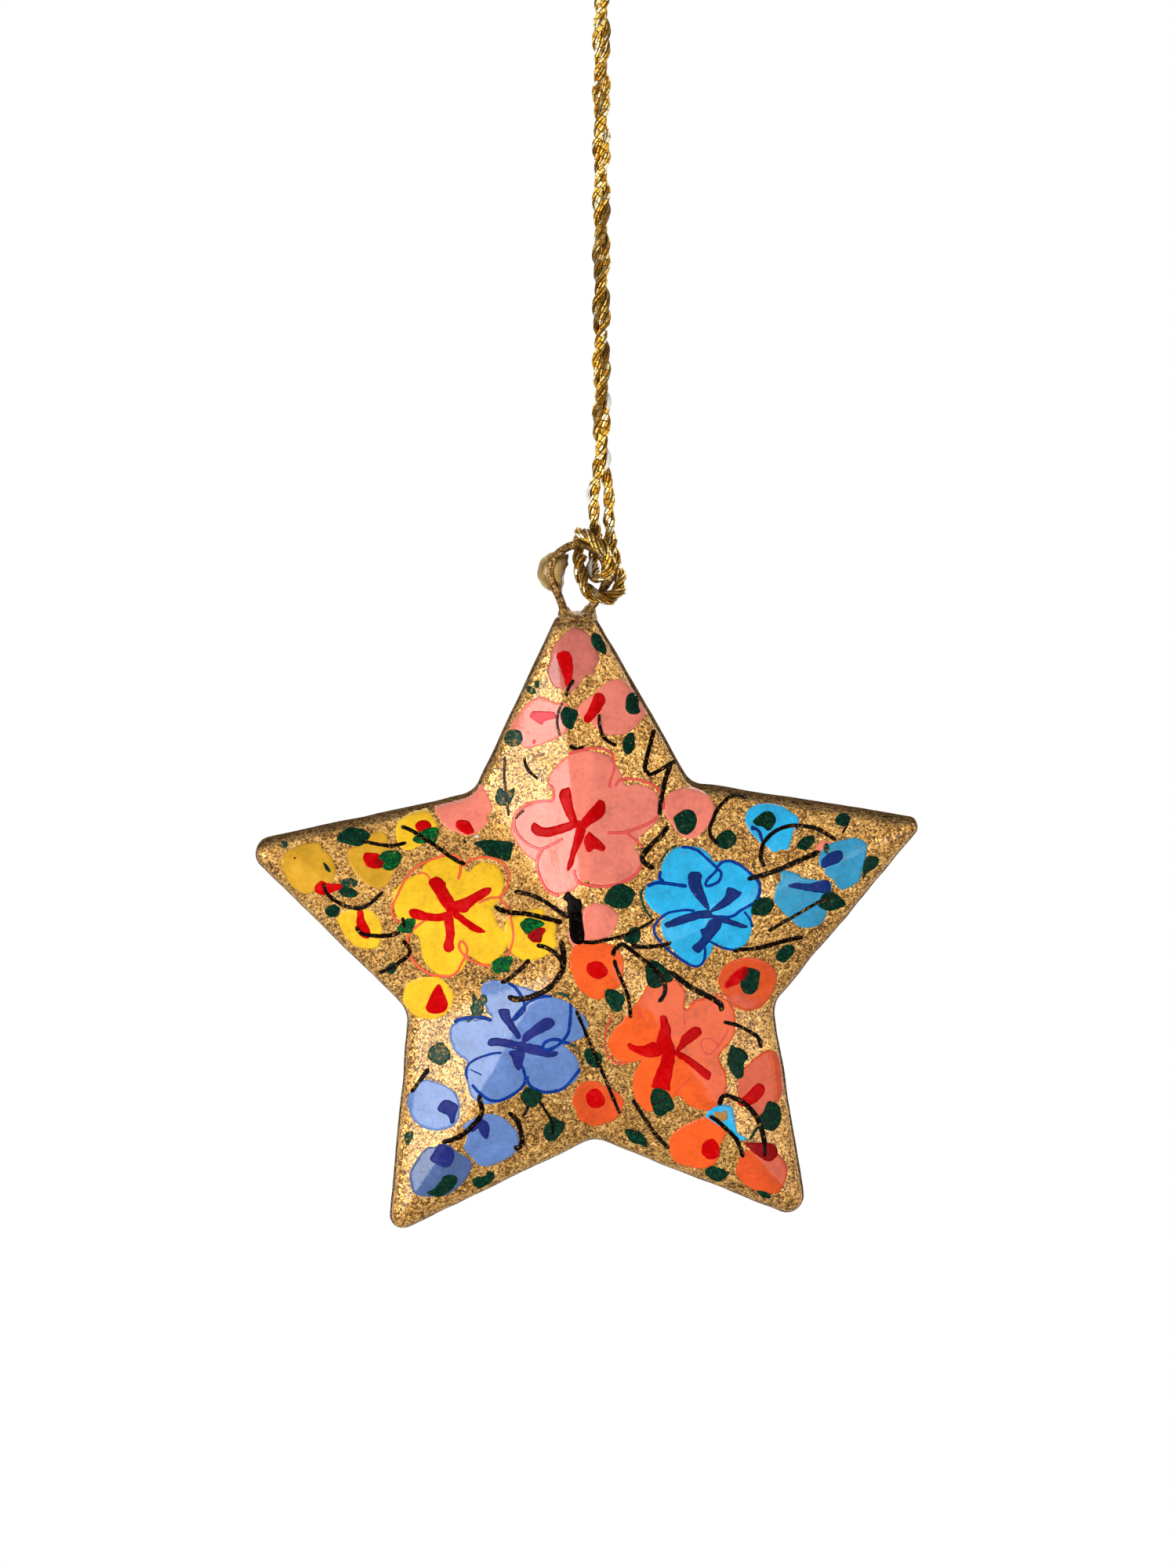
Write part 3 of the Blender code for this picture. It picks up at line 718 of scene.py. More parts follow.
# Closed mesh from rings of points that follow each other, with or without a fan at each end
def meshFromRings(name, rings, finish, fans=(None, None)):
    shape = bmesh.new()
    loops = [[shape.verts.new(Vector(point) * mm) for point in ring] for ring in rings]
    joinLoops(shape, loops)
    for loop, middle in zip((loops[0], loops[-1]), fans):
        if middle is None:
            shape.faces.new(loop)
        else:
            fanLoop(shape, loop, Vector(middle) * mm)
    piece = shapedPiece(name, shape)
    piece.data.materials.append(finish)
    piece.data.transform(starFrame)
    return piece


# The strip of paper pasted round the seam: thin at its torn edges, under the same paint
seamStrip = {
    "width": 5.0,
    "across": 12,
    "tears": ((0.55, 7.0, 0.5), (2.3, 3.0, 0.16)),  # how close, how unlike from edge to edge, and how deep
    "tuck": 0.8,  # its underside is this much narrower
    "under": 0.9,
}


def makeStrip():
    outline = starOutline(0.0)
    inside = starOutline(star["skinInset"] + 0.25)
    shape = bmesh.new()
    upward = shape.verts.layers.float.new("upward")
    ups = facingUp(outline)
    loops = []
    for step in range(seamStrip["across"] + 1):
        share = 2 * step / seamStrip["across"] - 1
        lift = math.sqrt(max(0.0, 1 - share ** 6))
        ring = []
        for index, (point, inner) in enumerate(zip(outline, inside)):
            tear = sum(noise.noise(Vector((point[0], point[1], unlike * share)) * close) * deep
                       for close, unlike, deep in seamStrip["tears"])
            place = inner + (point - inner) * lift
            y = share * (seamStrip["width"] / 2 + tear)
            ring.append(shape.verts.new((place[0] * mm, y * mm, place[1] * mm)))
            # painted sheen: the strip is marked pale where its edge faces up, though not right at its torn
            # edges nor near the top end
            bare = ups[index] * min(1.0, max(0.0, (1.05 - abs(share)) / 0.15))
            ring[-1][upward] = bare if point[1] < endTop - 1.5 else 0.0
        loops.append(ring)
    low = seamStrip["width"] / 2 - seamStrip["tuck"]
    under = [[shape.verts.new((x * mm, y * mm, z * mm)) for x, z in starOutline(seamStrip["under"])]
             for y in (-low, low)]
    joinLoops(shape, [under[0], *loops, under[1], under[0]])
    return settle(shapedPiece("seamStrip", shape, starFrame), relief,
                  {"Seed": 1.0, "Finish": finishes["strip"]})


strip = makeStrip()
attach(strip, "star")
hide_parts("seam_strip")
print("strip: %d faces" % len(strip.data.polygons))


def lengthSoFar(points):
    return np.concatenate([[0.0], np.cumsum(np.linalg.norm(np.diff(points, axis=0), axis=1))])


# Points on a smooth curve from the second to the last but one of the given ones
def curveBetween(points, between):
    fine = []
    for before, start, end, after in zip(points, points[1:], points[2:], points[3:]):
        for share in np.linspace(0.0, 1.0, between, endpoint=False):
            fine.append(0.5 * (2 * start + (end - before) * share
                               + (2 * before - 5 * start + 4 * end - after) * share ** 2
                               + (3 * start - before - 3 * end + after) * share ** 3))
    return fine


def pointsAt(places, run, fine):
    return np.stack([np.interp(places, run, fine[:, axis]) for axis in range(fine.shape[1])], axis=1)


# Evenly spaced points on a smooth curve through a route's own points
def smoothRoute(points, step, between=16):
    points = [np.array(point, float) for point in points]
    ends = [2 * points[0] - points[1], *points, 2 * points[-1] - points[-2]]
    fine = np.array([*curveBetween(ends, between), points[-1]])
    run = lengthSoFar(fine)
    return pointsAt(np.linspace(0.0, run[-1], max(3, round(run[-1] / step) + 1)), run, fine)


# The wire eye, as in part.py: x from the middle of the star, z above the flat end
wireEye = {
    "diameter": 0.95,
    "step": 0.16,
    "route": (
        (-1.45, 0.0), (-1.8, 1.8), (-2.35, 3.25), (-2.75, 4.55), (-2.7, 6.05), (-1.95, 7.25),
        (-0.65, 8.05), (0.7, 8.25), (1.95, 7.8), (2.9, 6.9), (3.45, 5.75), (3.6, 4.35),
        (3.05, 3.05), (2.15, 1.7), (1.35, 0.0),
    ),
    "legBottom": -10.4,
    "legSpacing": 1.7,
    "legTop": -6.9,
    "footSpread": 2.6,
    "footDrop": 2.0,
    "lump": (3.55, 4.5),
    "lumpSwell": 0.62,
    "lumpReach": 0.95,
    "footReach": 1.3,  # where the wire thickens into the pulp
    "footSwell": 0.5,
    "uneven": 0.05,
    "sides": 18,
    "flake": 0.17,
    "tones": ((0.28, (0.018, 0.009, 0.004)), (0.46, (0.100, 0.048, 0.013)), (0.64, (0.215, 0.112, 0.030)),
              (0.78, (0.50, 0.29, 0.095)), (0.93, (1.0, 0.76, 0.36))),
}


def wireFinish():
    finish, tree, shader, where = newFinish(
        "paintedWire", roughness=0.42, metallic=0.75, coat=0.08, coatRoughness=0.2, specular=0.0)
    bright = partsOf(tree, cellNode(tree, where, wireEye["flake"])["Color"])[0]
    shade = weighed(tree, (bright, 0.4), (noiseNode(tree, where, 0.8, 4.0, 0.65), 0.75))
    tree.links.new(rampNode(tree, shade, wireEye["tones"]), shader.inputs["Base Color"])
    tree.links.new(bumpNode(tree, shade, 0.20), shader.inputs["Normal"])
    return finish


finishes["wire"] = wireFinish()


def wirePoints():
    low, half = wireEye["legBottom"], wireEye["legSpacing"] / 2
    leg = [(half + wireEye["footSpread"], low - wireEye["footDrop"]), (half, low), (half, wireEye["legTop"])]
    flat = [*[(-x, z) for x, z in leg], *wireEye["route"], *reversed(leg)]
    return smoothRoute([(x, 0.0, z + endTop) for x, z in flat], wireEye["step"])


# A round tube along points, with a radius for each, uneven as dipped paint leaves it
def tubeRings(points, radii, sides, uneven):
    points = [Vector(point) for point in points]
    rings = []
    side = None
    for index, point in enumerate(points):
        ahead = (points[min(index + 1, len(points) - 1)] - points[max(index - 1, 0)]).normalized()
        side = (ahead.orthogonal() if side is None else side - ahead * side.dot(ahead)).normalized()
        other = ahead.cross(side)
        ring = []
        for turn in range(sides):
            angle = 2 * math.pi * turn / sides
            out = side * math.cos(angle) + other * math.sin(angle)
            swell = 1 + uneven * noise.fractal((point + out * 0.5) * 1.5, 1.0, 2.0, 3)
            ring.append(point + out * radii[index] * swell)
        rings.append(ring)
    return rings


def wireRadii(points):
    lump = np.array((wireEye["lump"][0], 0.0, wireEye["lump"][1] + endTop))
    away = np.linalg.norm(points - lump, axis=1) / wireEye["lumpReach"]
    above = points[:, 2] - endTop
    foot = np.clip(1 - above / wireEye["footReach"], 0.0, 1.0) * (above > -1.0)
    return wireEye["diameter"] / 2 * (1 + wireEye["lumpSwell"] * np.exp(-away ** 2)
                                      + wireEye["footSwell"] * foot ** 2)


def makeWire():
    points = wirePoints()
    rings = tubeRings(points, wireRadii(points), wireEye["sides"], wireEye["uneven"])
    return meshFromRings("wireEye", rings, finishes["wire"])


wire = makeWire()
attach(wire, "star")
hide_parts("wire_loop")
print("wire eye: %d faces" % len(wire.data.polygons))


# The pulp that closes the top arm: a low saddle between the wire's feet, under the paint
pulpMound = {
    "blobs": (  # x, z above the flat end, half width, half depth, half height
        (-1.45, 0.35, 0.76, 1.0, 1.05), (1.37, 0.35, 0.76, 1.0, 1.05), (0.0, -0.15, 1.75, 2.3, 0.75),
        (-1.05, 0.0, 1.1, 2.0, 0.75), (1.05, 0.0, 1.1, 2.0, 0.75), (-1.28, -0.25, 0.98, 2.8, 0.72),
        (1.28, -0.25, 0.98, 2.8, 0.72),
    ),
    "voxel": 0.11,
    "smooth": 6,
    "smoothing": 0.6,
    # how much painted shade darkens the mound's gold
    "pooled": 0.60,
    "relief": {"Lump height": 0.1, "Dent height": 0.16, "Dent size": 1.3, "Grain height": 0.05,
               "Grain size": 0.5},
}


def makeMound():
    shape = bmesh.new()
    for x, z, width, depth, height in pulpMound["blobs"]:
        placed = Matrix.Translation((x * mm, 0.0, (z + endTop) * mm)) @ Matrix.Diagonal(
            (width * mm, depth * mm, height * mm, 1.0))
        bmesh.ops.create_icosphere(shape, subdivisions=4, radius=1.0, matrix=starFrame @ placed)
    piece = shapedPiece("pulpMound", shape)
    remesh = piece.modifiers.new("one lump", "REMESH")
    remesh.mode = "VOXEL"
    remesh.voxel_size = pulpMound["voxel"] * mm
    soften = piece.modifiers.new("soft", "SMOOTH")
    soften.iterations = pulpMound["smooth"]
    soften.factor = pulpMound["smoothing"]
    settled = settle(piece)
    settled.data.shade_smooth()
    laid = settle(settled, relief, {"Seed": 4.0, "Finish": finishes["gold"], **pulpMound["relief"]})
    for name in ("rim", "pooled"):  # painted shade: the whole mound is darkened brown, and its coat is thinner
        storeValues(laid.data, name, [pulpMound["pooled"]] * len(laid.data.vertices))
    return laid


mound = makeMound()
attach(mound, "star")
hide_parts("tip_cap")
print("mound: %d faces" % len(mound.data.polygons))


# The dried drop of lacquer behind the left of the eye
lacquerDrop = {
    "middle": (-2.0, 1.35, 5.1),
    "size": (4.8, 3.4, 4.7),
    "edge": -1.25,  # where it is torn off towards the eye
    "slant": 0.24,
    "ragged": 0.35,
    "uneven": 0.05,
    "turned": 0.70,  # how far round its side goes before it is torn off
    "around": 40,
    "rings": 30,
    "tones": ((0.32, (0.15, 0.082, 0.014)), (0.46, (0.38, 0.225, 0.045)), (0.56, (0.60, 0.40, 0.115)),
              (0.68, (0.95, 0.80, 0.46))),
    "tornTone": (0.150, 0.070, 0.015),
    "tornReach": 1.0,  # how far from the torn edge the dark tone goes
}


def dropFinish():
    finish, tree, shader, where = newFinish(
        "driedLacquer", roughness=0.22, coat=0.45, coatRoughness=0.06, specular=0.2)
    shader.inputs["Transmission Weight"].default_value = 0.08
    shader.inputs["IOR"].default_value = 1.5
    streaks = noiseNode(tree, vectorNode(tree, "MULTIPLY", where, (1.0, 1.0, 0.16)), 0.85, 4.0, 0.6)
    colour = rampNode(tree, streaks, lacquerDrop["tones"])
    apart = addNode(tree, "ShaderNodeSeparateXYZ")
    tree.links.new(where, apart.inputs[0])
    edge = (starFrame @ Vector((lacquerDrop["edge"] * mm, 0.0, (endTop + 5) * mm))).x
    near = mathNode(tree, "DIVIDE", minus(tree, apart.outputs[0], edge - lacquerDrop["tornReach"] * mm),
                    1.1 * mm, clamp=True)
    ragged = times(tree, near, plus(tree, noiseNode(tree, where, 0.5, 3.0), 0.45), clamp=True)
    tree.links.new(mixColours(tree, ragged, colour, lacquerDrop["tornTone"]), shader.inputs["Base Color"])
    tree.links.new(bumpNode(tree, noiseNode(tree, where, 0.8, 3.0), 0.10), shader.inputs["Normal"])
    return finish


finishes["lacquer"] = dropFinish()


def makeDrop():
    middle = Vector(lacquerDrop["middle"]) + Vector((0.0, 0.0, endTop))
    half = [size / 2 for size in lacquerDrop["size"]]
    reach = lacquerDrop["edge"] - middle.x
    rings = []
    for ring in range(1, lacquerDrop["rings"]):
        angle = math.pi * (1 - lacquerDrop["turned"] * ring / lacquerDrop["rings"])
        x = half[0] * math.cos(angle)
        spread = math.sin(angle)
        loop = []
        for turn in range(lacquerDrop["around"]):
            around = 2 * math.pi * turn / lacquerDrop["around"]
            out = Vector((x, half[1] * spread * math.cos(around), half[2] * spread * math.sin(around)))
            torn = (noise.noise(Vector((4.0, out.y, out.z)) * 1.6) * lacquerDrop["ragged"]
                    + lacquerDrop["slant"] * out.z)
            point = out * (1 + lacquerDrop["uneven"] * noise.noise(out * 0.9 + Vector((3.0, 1.0, 2.0))))
            point.x = min(point.x, reach + torn)
            loop.append(middle + point)
        rings.append(loop)
    return meshFromRings("lacquerDrop", rings, finishes["lacquer"],
                         [middle + Vector((x, 0.0, 0.0)) for x in (-half[0], reach - 0.15)])


drop = makeDrop()
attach(drop, "star")
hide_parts("lacquer_drop")
print("drop: %d faces" % len(drop.data.polygons))


# The painted flowers of the front, traced on enlarged parts of the photograph. Each tracing has
# its corner in the photograph's pixels and its enlargement. A mark's points are in the tracing's own
# pixels, x and y by turns, and a line's width comes before them
frontMarks = {
    "topArm": {
        "corner": (640, 780),
        "enlarged": 7.127,
        "fills": (
            # painted shade: the top bud takes a darker copy of the pink, for the facet turned from the lamp
            ("dullPink", (690, 150, 760, 185, 815, 240, 885, 410, 880, 470, 845, 510, 830, 580, 770, 575,
                700, 670, 600, 745, 540, 700, 470, 680, 425, 600, 415, 520, 440, 430, 440, 380, 470, 320,
                510, 265, 620, 160)),
            ("pink", (350, 775, 420, 795, 490, 828, 560, 820, 605, 850, 590, 960, 600, 1070, 490, 1160,
                300, 1230, 200, 1240, 150, 1180, 80, 1070, 100, 1000, 200, 865, 260, 808)),
            ("pink", (700, 860, 750, 810, 820, 760, 930, 660, 1000, 622, 1080, 618, 1210, 690, 1310, 840,
                1322, 890, 1290, 950, 1190, 1075, 1110, 1115, 1040, 1122, 940, 1115, 865, 1070, 820, 1015,
                750, 985, 690, 930)),
            ("red", (500, 420, 530, 370, 600, 362, 638, 420, 648, 520, 642, 610, 612, 690, 580, 680,
                558, 590)),
            ("rose", (260, 930, 300, 905, 450, 910, 490, 930, 485, 970, 390, 1000, 360, 1030, 262, 965)),
            ("rose", (285, 1170, 305, 1165, 312, 1190, 295, 1210, 280, 1192)),
            ("red", (880, 740, 920, 755, 940, 810, 915, 870, 870, 930, 820, 990, 785, 1015, 750, 1000,
                745, 960, 790, 890, 840, 765)),
            ("leaf", (835, 195, 875, 210, 915, 260, 950, 340, 935, 385, 895, 370, 850, 340, 815, 290,
                815, 235)),
            ("leaf", (560, 880, 590, 865, 685, 905, 680, 960, 660, 1010, 650, 1060, 620, 1070, 570, 1040,
                545, 990, 535, 930)),
            ("leaf", (1160, 745, 1210, 742, 1245, 780, 1240, 850, 1255, 910, 1210, 935, 1160, 930,
                1130, 900, 1125, 840, 1135, 780)),
            ("thinLeaf", (60, 1090, 110, 1072, 165, 1085, 190, 1140, 175, 1200, 120, 1225, 60, 1215,
                25, 1160)),
            ("thinLeaf", (232, 622, 262, 612, 272, 640, 248, 660, 226, 648)),
            ("thinLeaf", (300, 640, 332, 622, 342, 672, 322, 700, 300, 672)),
            ("thinLeaf", (218, 690, 262, 678, 300, 712, 312, 740, 272, 755, 236, 725)),
        ),
        "lines": (
            ("black", 32, (655, 620, 615, 680, 590, 735, 590, 775)),
            # a stem painted grey, partly thin paint and partly painted highlight where the glare lies over it
            ("smudge", 24, (552, 830, 516, 920, 506, 1020, 530, 1130)),
            ("black", 31, (883, 932, 885, 1000, 897, 1075, 925, 1140, 980, 1190, 1045, 1218)),
        ),
    },
    "pinkBloom": {
        "corner": (580, 930),
        "enlarged": 5.227,
        "fills": (
            ("pink", (625, 330, 650, 280, 690, 225, 740, 185, 800, 155, 870, 145, 940, 150, 1000, 165,
                1040, 195, 1075, 240, 1105, 290, 1128, 350, 1145, 374, 1200, 365, 1265, 375, 1320, 400,
                1355, 450, 1362, 520, 1360, 580, 1340, 630, 1208, 755, 1238, 850, 1242, 900, 1225, 960,
                1190, 1000, 1130, 1025, 990, 1045, 930, 1035, 872, 1008, 840, 1030, 790, 1075, 740, 1095,
                690, 1100, 640, 1085, 600, 1050, 570, 1000, 550, 940, 538, 885, 490, 850, 440, 800,
                400, 740, 375, 680, 382, 620, 420, 560, 470, 510, 530, 480, 590, 470, 632, 472, 655, 440,
                622, 368)),
            ("red", (735, 395, 770, 395, 790, 520, 812, 590, 815, 645, 770, 620, 715, 510, 695, 450,
                705, 410)),
            ("red", (975, 475, 998, 490, 1003, 530, 995, 570, 950, 610, 900, 640, 870, 668, 838, 660,
                835, 620, 950, 482)),
            ("red", (510, 650, 530, 620, 562, 640, 600, 656, 660, 648, 800, 608, 842, 622, 805, 660,
                720, 695, 650, 715, 590, 720, 540, 705, 515, 685)),
            ("red", (820, 645, 866, 650, 870, 700, 812, 830, 790, 900, 765, 940, 750, 925, 800, 710)),
            ("red", (880, 700, 910, 692, 1000, 782, 985, 815, 930, 800, 892, 825, 870, 790, 860, 740)),
            ("leaf", (1190, 25, 1198, 70, 1200, 125, 1165, 168, 1130, 150, 1120, 100, 1135, 60, 1160, 28)),
            ("thinLeaf", (298, 390, 340, 418, 398, 392, 390, 450, 360, 502, 300, 510, 268, 460)),
            ("leaf", (130, 762, 190, 740, 260, 740, 380, 755, 382, 800, 370, 860, 340, 878, 290, 860,
                240, 850, 200, 830, 170, 790)),
            ("leaf", (1010, 1100, 1050, 1050, 1100, 1030, 1150, 1045, 1200, 1085, 1190, 1140, 1150, 1190,
                1090, 1195, 1030, 1175, 1000, 1150)),
            ("leaf", (58, 738, 78, 742, 76, 762, 60, 756)),
        ),
        "lines": (
            ("coral", 17, (755, 165, 830, 140, 930, 126, 1010, 138, 1050, 170, 1062, 225, 1060, 280,
                1038, 340, 1030, 392)),
            ("coral", 19, (1068, 384, 1088, 350, 1125, 332, 1200, 335, 1270, 350, 1340, 385, 1374, 430,
                1390, 490, 1386, 540)),
            ("coral", 21, (1352, 585, 1290, 630, 1140, 686, 1015, 692)),
            ("coral", 17, (1140, 690, 1212, 746, 1252, 792)),
            ("coral", 19, (618, 365, 650, 392, 660, 440, 648, 478, 590, 478, 530, 486, 468, 508, 410, 570,
                398, 640, 422, 700, 480, 760, 540, 790, 587, 797, 700, 742, 722, 725)),
            ("coral", 21, (590, 800, 556, 850, 550, 920, 570, 990, 600, 1050, 640, 1090, 700, 1114)),
            ("coral", 20, (800, 936, 806, 985, 838, 1026, 960, 1050, 1060, 1040, 1150, 1005, 1212, 960,
                1246, 905)),
            ("smudge", 15, (335, 185, 332, 330, 360, 580)),
            ("black", 18, (464, 185, 472, 235, 500, 285, 555, 332)),
            ("black", 22, (762, 112, 800, 128, 860, 122)),
            ("smudge", 14, (405, 600, 435, 566, 466, 540)),
            ("black", 26, (1328, 2, 1270, 240, 1285, 285, 1318, 300, 1480, 205)),
            ("black", 28, (1443, 215, 1396, 370, 1369, 520, 1366, 572)),
        ),
    },
    "yellowBloom": {
        "corner": (480, 1070),
        "enlarged": 6.533,
        "fills": (
            ("yellow", (360, 280, 390, 230, 440, 180, 510, 150, 570, 145, 640, 170, 700, 205, 740, 240,
                765, 272, 850, 205, 920, 195, 990, 220, 1040, 270, 1062, 340, 1060, 400, 1035, 495,
                1018, 530, 985, 565, 985, 625, 1005, 690, 1045, 747, 1085, 770, 1110, 800, 1105, 860,
                1060, 950, 1030, 990, 980, 1030, 920, 1050, 860, 1030, 762, 968, 752, 1030, 720, 1090,
                670, 1130, 600, 1145, 520, 1130, 450, 1080, 400, 1020, 375, 950, 358, 830, 300, 775,
                330, 715, 290, 690, 200, 672, 160, 620, 145, 560, 140, 500, 150, 440, 190, 380, 240, 340)),
            ("yellow", (1070, 720, 1110, 655, 1180, 640, 1250, 602, 1390, 580, 1400, 625, 1440, 665,
                1500, 700, 1490, 820, 1510, 870, 1470, 930, 1400, 980, 1320, 1010, 1250, 1025, 1180, 990,
                1130, 950, 1096, 900, 1060, 785)),
            ("yellow", (225, 1290, 260, 1205, 330, 1165, 420, 1150, 510, 1150, 560, 1180, 605, 1225,
                640, 1290, 628, 1370, 590, 1440, 520, 1490, 430, 1500, 340, 1480, 270, 1430, 225, 1370)),
            ("red", (440, 345, 480, 320, 522, 324, 582, 370, 590, 410, 690, 600, 620, 640, 575, 590,
                450, 400)),
            ("red", (650, 520, 720, 500, 880, 420, 950, 405, 962, 430, 930, 470, 800, 560, 750, 612,
                690, 612, 640, 600, 610, 560)),
            ("red", (272, 602, 310, 578, 420, 610, 490, 620, 550, 618, 600, 600, 622, 650, 560, 680,
                480, 685, 400, 680, 330, 665, 285, 642)),
            ("red", (568, 640, 636, 640, 650, 720, 655, 790, 645, 860, 652, 910, 610, 946, 575, 935,
                558, 890, 580, 810)),
            ("red", (640, 600, 700, 620, 760, 670, 880, 745, 912, 775, 880, 785, 820, 775, 760, 740,
                700, 690, 640, 650)),
            ("freshLeaf", (1210, 690, 1250, 662, 1320, 668, 1380, 685, 1396, 720, 1262, 795, 1220, 760,
                1200, 720)),
            ("darkRed", (1290, 775, 1350, 740, 1378, 752, 1385, 800, 1370, 850, 1310, 856, 1270, 830,
                1262, 800)),
            ("red", (1350, 742, 1400, 742, 1413, 770, 1382, 812, 1372, 860, 1312, 864, 1282, 842, 1362, 836,
                1378, 790)),
            ("red", (525, 1205, 575, 1307, 601, 1378, 562, 1444, 477, 1457, 412, 1418, 438, 1339,
                477, 1261)),
            ("freshLeaf", (222, 690, 260, 660, 322, 665, 325, 700, 302, 740, 300, 775, 250, 785, 180, 765,
                186, 725)),
            ("leaf", (90, 1062, 150, 1030, 177, 1050, 160, 1100, 130, 1130, 100, 1110)),
            ("freshLeaf", (980, 1010, 1060, 980, 1135, 985, 1130, 1030, 1102, 1080, 1110, 1106, 1040, 1110,
                990, 1120, 970, 1060)),
        ),
        "lines": (
            ("amber", 20, (600, 132, 500, 160, 350, 225, 260, 310, 195, 430, 135, 560, 130, 620, 160, 670,
                190, 700)),
            ("amber", 20, (620, 130, 680, 150, 742, 214, 764, 185, 830, 160, 920, 155, 1000, 170, 1060, 210,
                1090, 260, 1106, 330, 1090, 400, 1060, 450, 1020, 487, 960, 492, 900, 512, 850, 537)),
            ("amber", 25, (704, 212, 700, 270, 681, 342)),
            ("amber", 15, (340, 296, 392, 284, 432, 310, 448, 345)),
            ("amber", 20, (1022, 492, 1080, 552, 1112, 620, 1141, 780, 1135, 860, 1112, 930, 1080, 982)),
            ("amber", 21, (430, 668, 370, 702, 270, 800, 265, 870, 280, 960, 320, 1030, 390, 1092,
                460, 1130, 540, 1142, 620, 1140, 670, 1110, 700, 1060, 756, 940, 745, 880, 710, 850,
                690, 880, 702, 930, 742, 975, 790, 1012, 860, 1042, 950, 1060)),
            ("black", 34, (0, 805, 70, 808, 150, 796, 196, 766)),
            ("black", 29, (220, 650, 228, 700, 240, 740)),
            ("black", 31, (220, 845, 262, 890, 280, 940, 250, 990, 200, 1020, 150, 1060, 20, 1120)),
            ("black", 35, (1148, 440, 1220, 450, 1300, 470, 1380, 510, 1460, 560, 1600, 660)),
            ("black", 40, (985, 560, 1040, 595, 1130, 615, 1240, 625, 1340, 645, 1552, 698)),
            ("black", 36, (1335, 885, 1400, 900, 1460, 930, 1520, 980, 1558, 1050)),
            ("black", 48, (1538, 845, 1560, 960, 1550, 1080, 1500, 1180, 1430, 1250, 1340, 1298, 1240, 1330,
                1160, 1336, 1098, 1312)),
            ("black", 37, (1276, 1000, 1230, 1060, 1160, 1120, 1100, 1170, 1040, 1200)),
        ),
    },
    "skyBloom": {
        "corner": (810, 1060),
        "enlarged": 7.84,
        "fills": (
            ("sky", (262, 372, 275, 325, 310, 260, 360, 200, 420, 165, 500, 150, 600, 155, 680, 180,
                740, 230, 795, 302, 930, 295, 1010, 325, 1090, 370, 1160, 430, 1220, 490, 1237, 560,
                1230, 640, 1205, 710, 1170, 770, 1165, 850, 1170, 940, 1160, 1020, 1120, 1110, 1060, 1160,
                990, 1185, 920, 1170, 850, 1140, 788, 1128, 775, 1180, 740, 1250, 690, 1310, 630, 1345,
                570, 1340, 430, 1240, 330, 1120, 290, 1050, 265, 980, 262, 912, 296, 866, 258, 836,
                190, 800, 130, 740, 95, 670, 95, 610, 120, 555, 180, 500, 240, 480, 257, 425)),
            ("navy", (530, 440, 570, 408, 640, 415, 670, 450, 665, 520, 742, 765, 710, 780, 600, 660,
                560, 600, 530, 530)),
            ("navy", (930, 560, 980, 570, 1040, 600, 1062, 630, 930, 745, 790, 805, 738, 802, 850, 700,
                900, 640, 910, 590)),
            ("navy", (288, 932, 340, 900, 530, 822, 720, 790, 770, 825, 800, 870, 640, 880, 350, 966,
                300, 955)),
            ("navy", (770, 845, 860, 848, 1112, 940, 1100, 970, 1020, 956, 850, 910, 790, 892)),
            ("navy", (755, 880, 850, 890, 862, 940, 830, 1000, 740, 1110, 690, 1170, 630, 1222, 590, 1195,
                570, 1160, 660, 1060, 648, 985, 700, 960)),
            ("leaf", (1190, 690, 1320, 665, 1370, 690, 1392, 740, 1360, 800, 1300, 848, 1210, 842,
                1165, 815)),
        ),
        "lines": (
            ("blueLine", 37, (522, 554, 270, 520, 190, 526, 118, 552)),
            ("blueLine", 33, (255, 400, 245, 470, 292, 512)),
            ("blueLine", 29, (460, 160, 540, 166, 600, 186, 650, 215, 840, 392, 860, 440, 840, 500,
                790, 532, 730, 552, 706, 540, 722, 490, 810, 400, 834, 350, 880, 310, 950, 300, 1020, 325,
                1090, 370, 1220, 490, 1250, 550, 1240, 640, 1200, 710, 1060, 790, 990, 842, 920, 860,
                830, 852)),
            ("blueLine", 23, (1090, 800, 1160, 905, 1168, 962)),
            ("blueLine", 25, (600, 800, 520, 790, 420, 800, 330, 820, 270, 860, 220, 910, 190, 960,
                200, 1030, 240, 1090, 300, 1160, 370, 1220, 520, 1322, 600, 1352, 660, 1336, 690, 1280,
                700, 1200, 690, 1120, 700, 1060)),
            ("blueLine", 22, (742, 1100, 870, 1165, 1000, 1192)),
            ("thinLeaf", 22, (420, 148, 345, 180, 290, 250, 240, 335, 235, 380)),
            ("thinLeaf", 24, (105, 556, 60, 620, 70, 700, 112, 800, 170, 880)),
            ("black", 50, (334, -52, 250, 60, 180, 120, 82, 240, 76, 290, 110, 330, 190, 376)),
        ),
    },
    "violetBloom": {
        "corner": (560, 1230),
        "enlarged": 7.84,
        "fills": (
            ("violet", (420, 232, 460, 180, 530, 160, 620, 165, 980, 265, 1060, 300, 1220, 350, 1300, 390,
                1450, 520, 1492, 580, 1480, 660, 1450, 720, 1380, 760, 1320, 775, 1255, 802, 1350, 900,
                1390, 960, 1405, 1020, 1400, 1100, 1370, 1160, 1300, 1210, 1220, 1250, 1140, 1270,
                1050, 1270, 868, 1212, 760, 1310, 590, 1385, 500, 1400, 420, 1390, 350, 1350, 310, 1290,
                270, 1150, 270, 1080, 280, 1010, 268, 958, 210, 920, 150, 860, 120, 790, 105, 720, 110, 640,
                150, 590, 210, 555, 290, 545, 370, 550, 525, 538, 488, 495, 478, 450, 450, 400, 420, 280)),
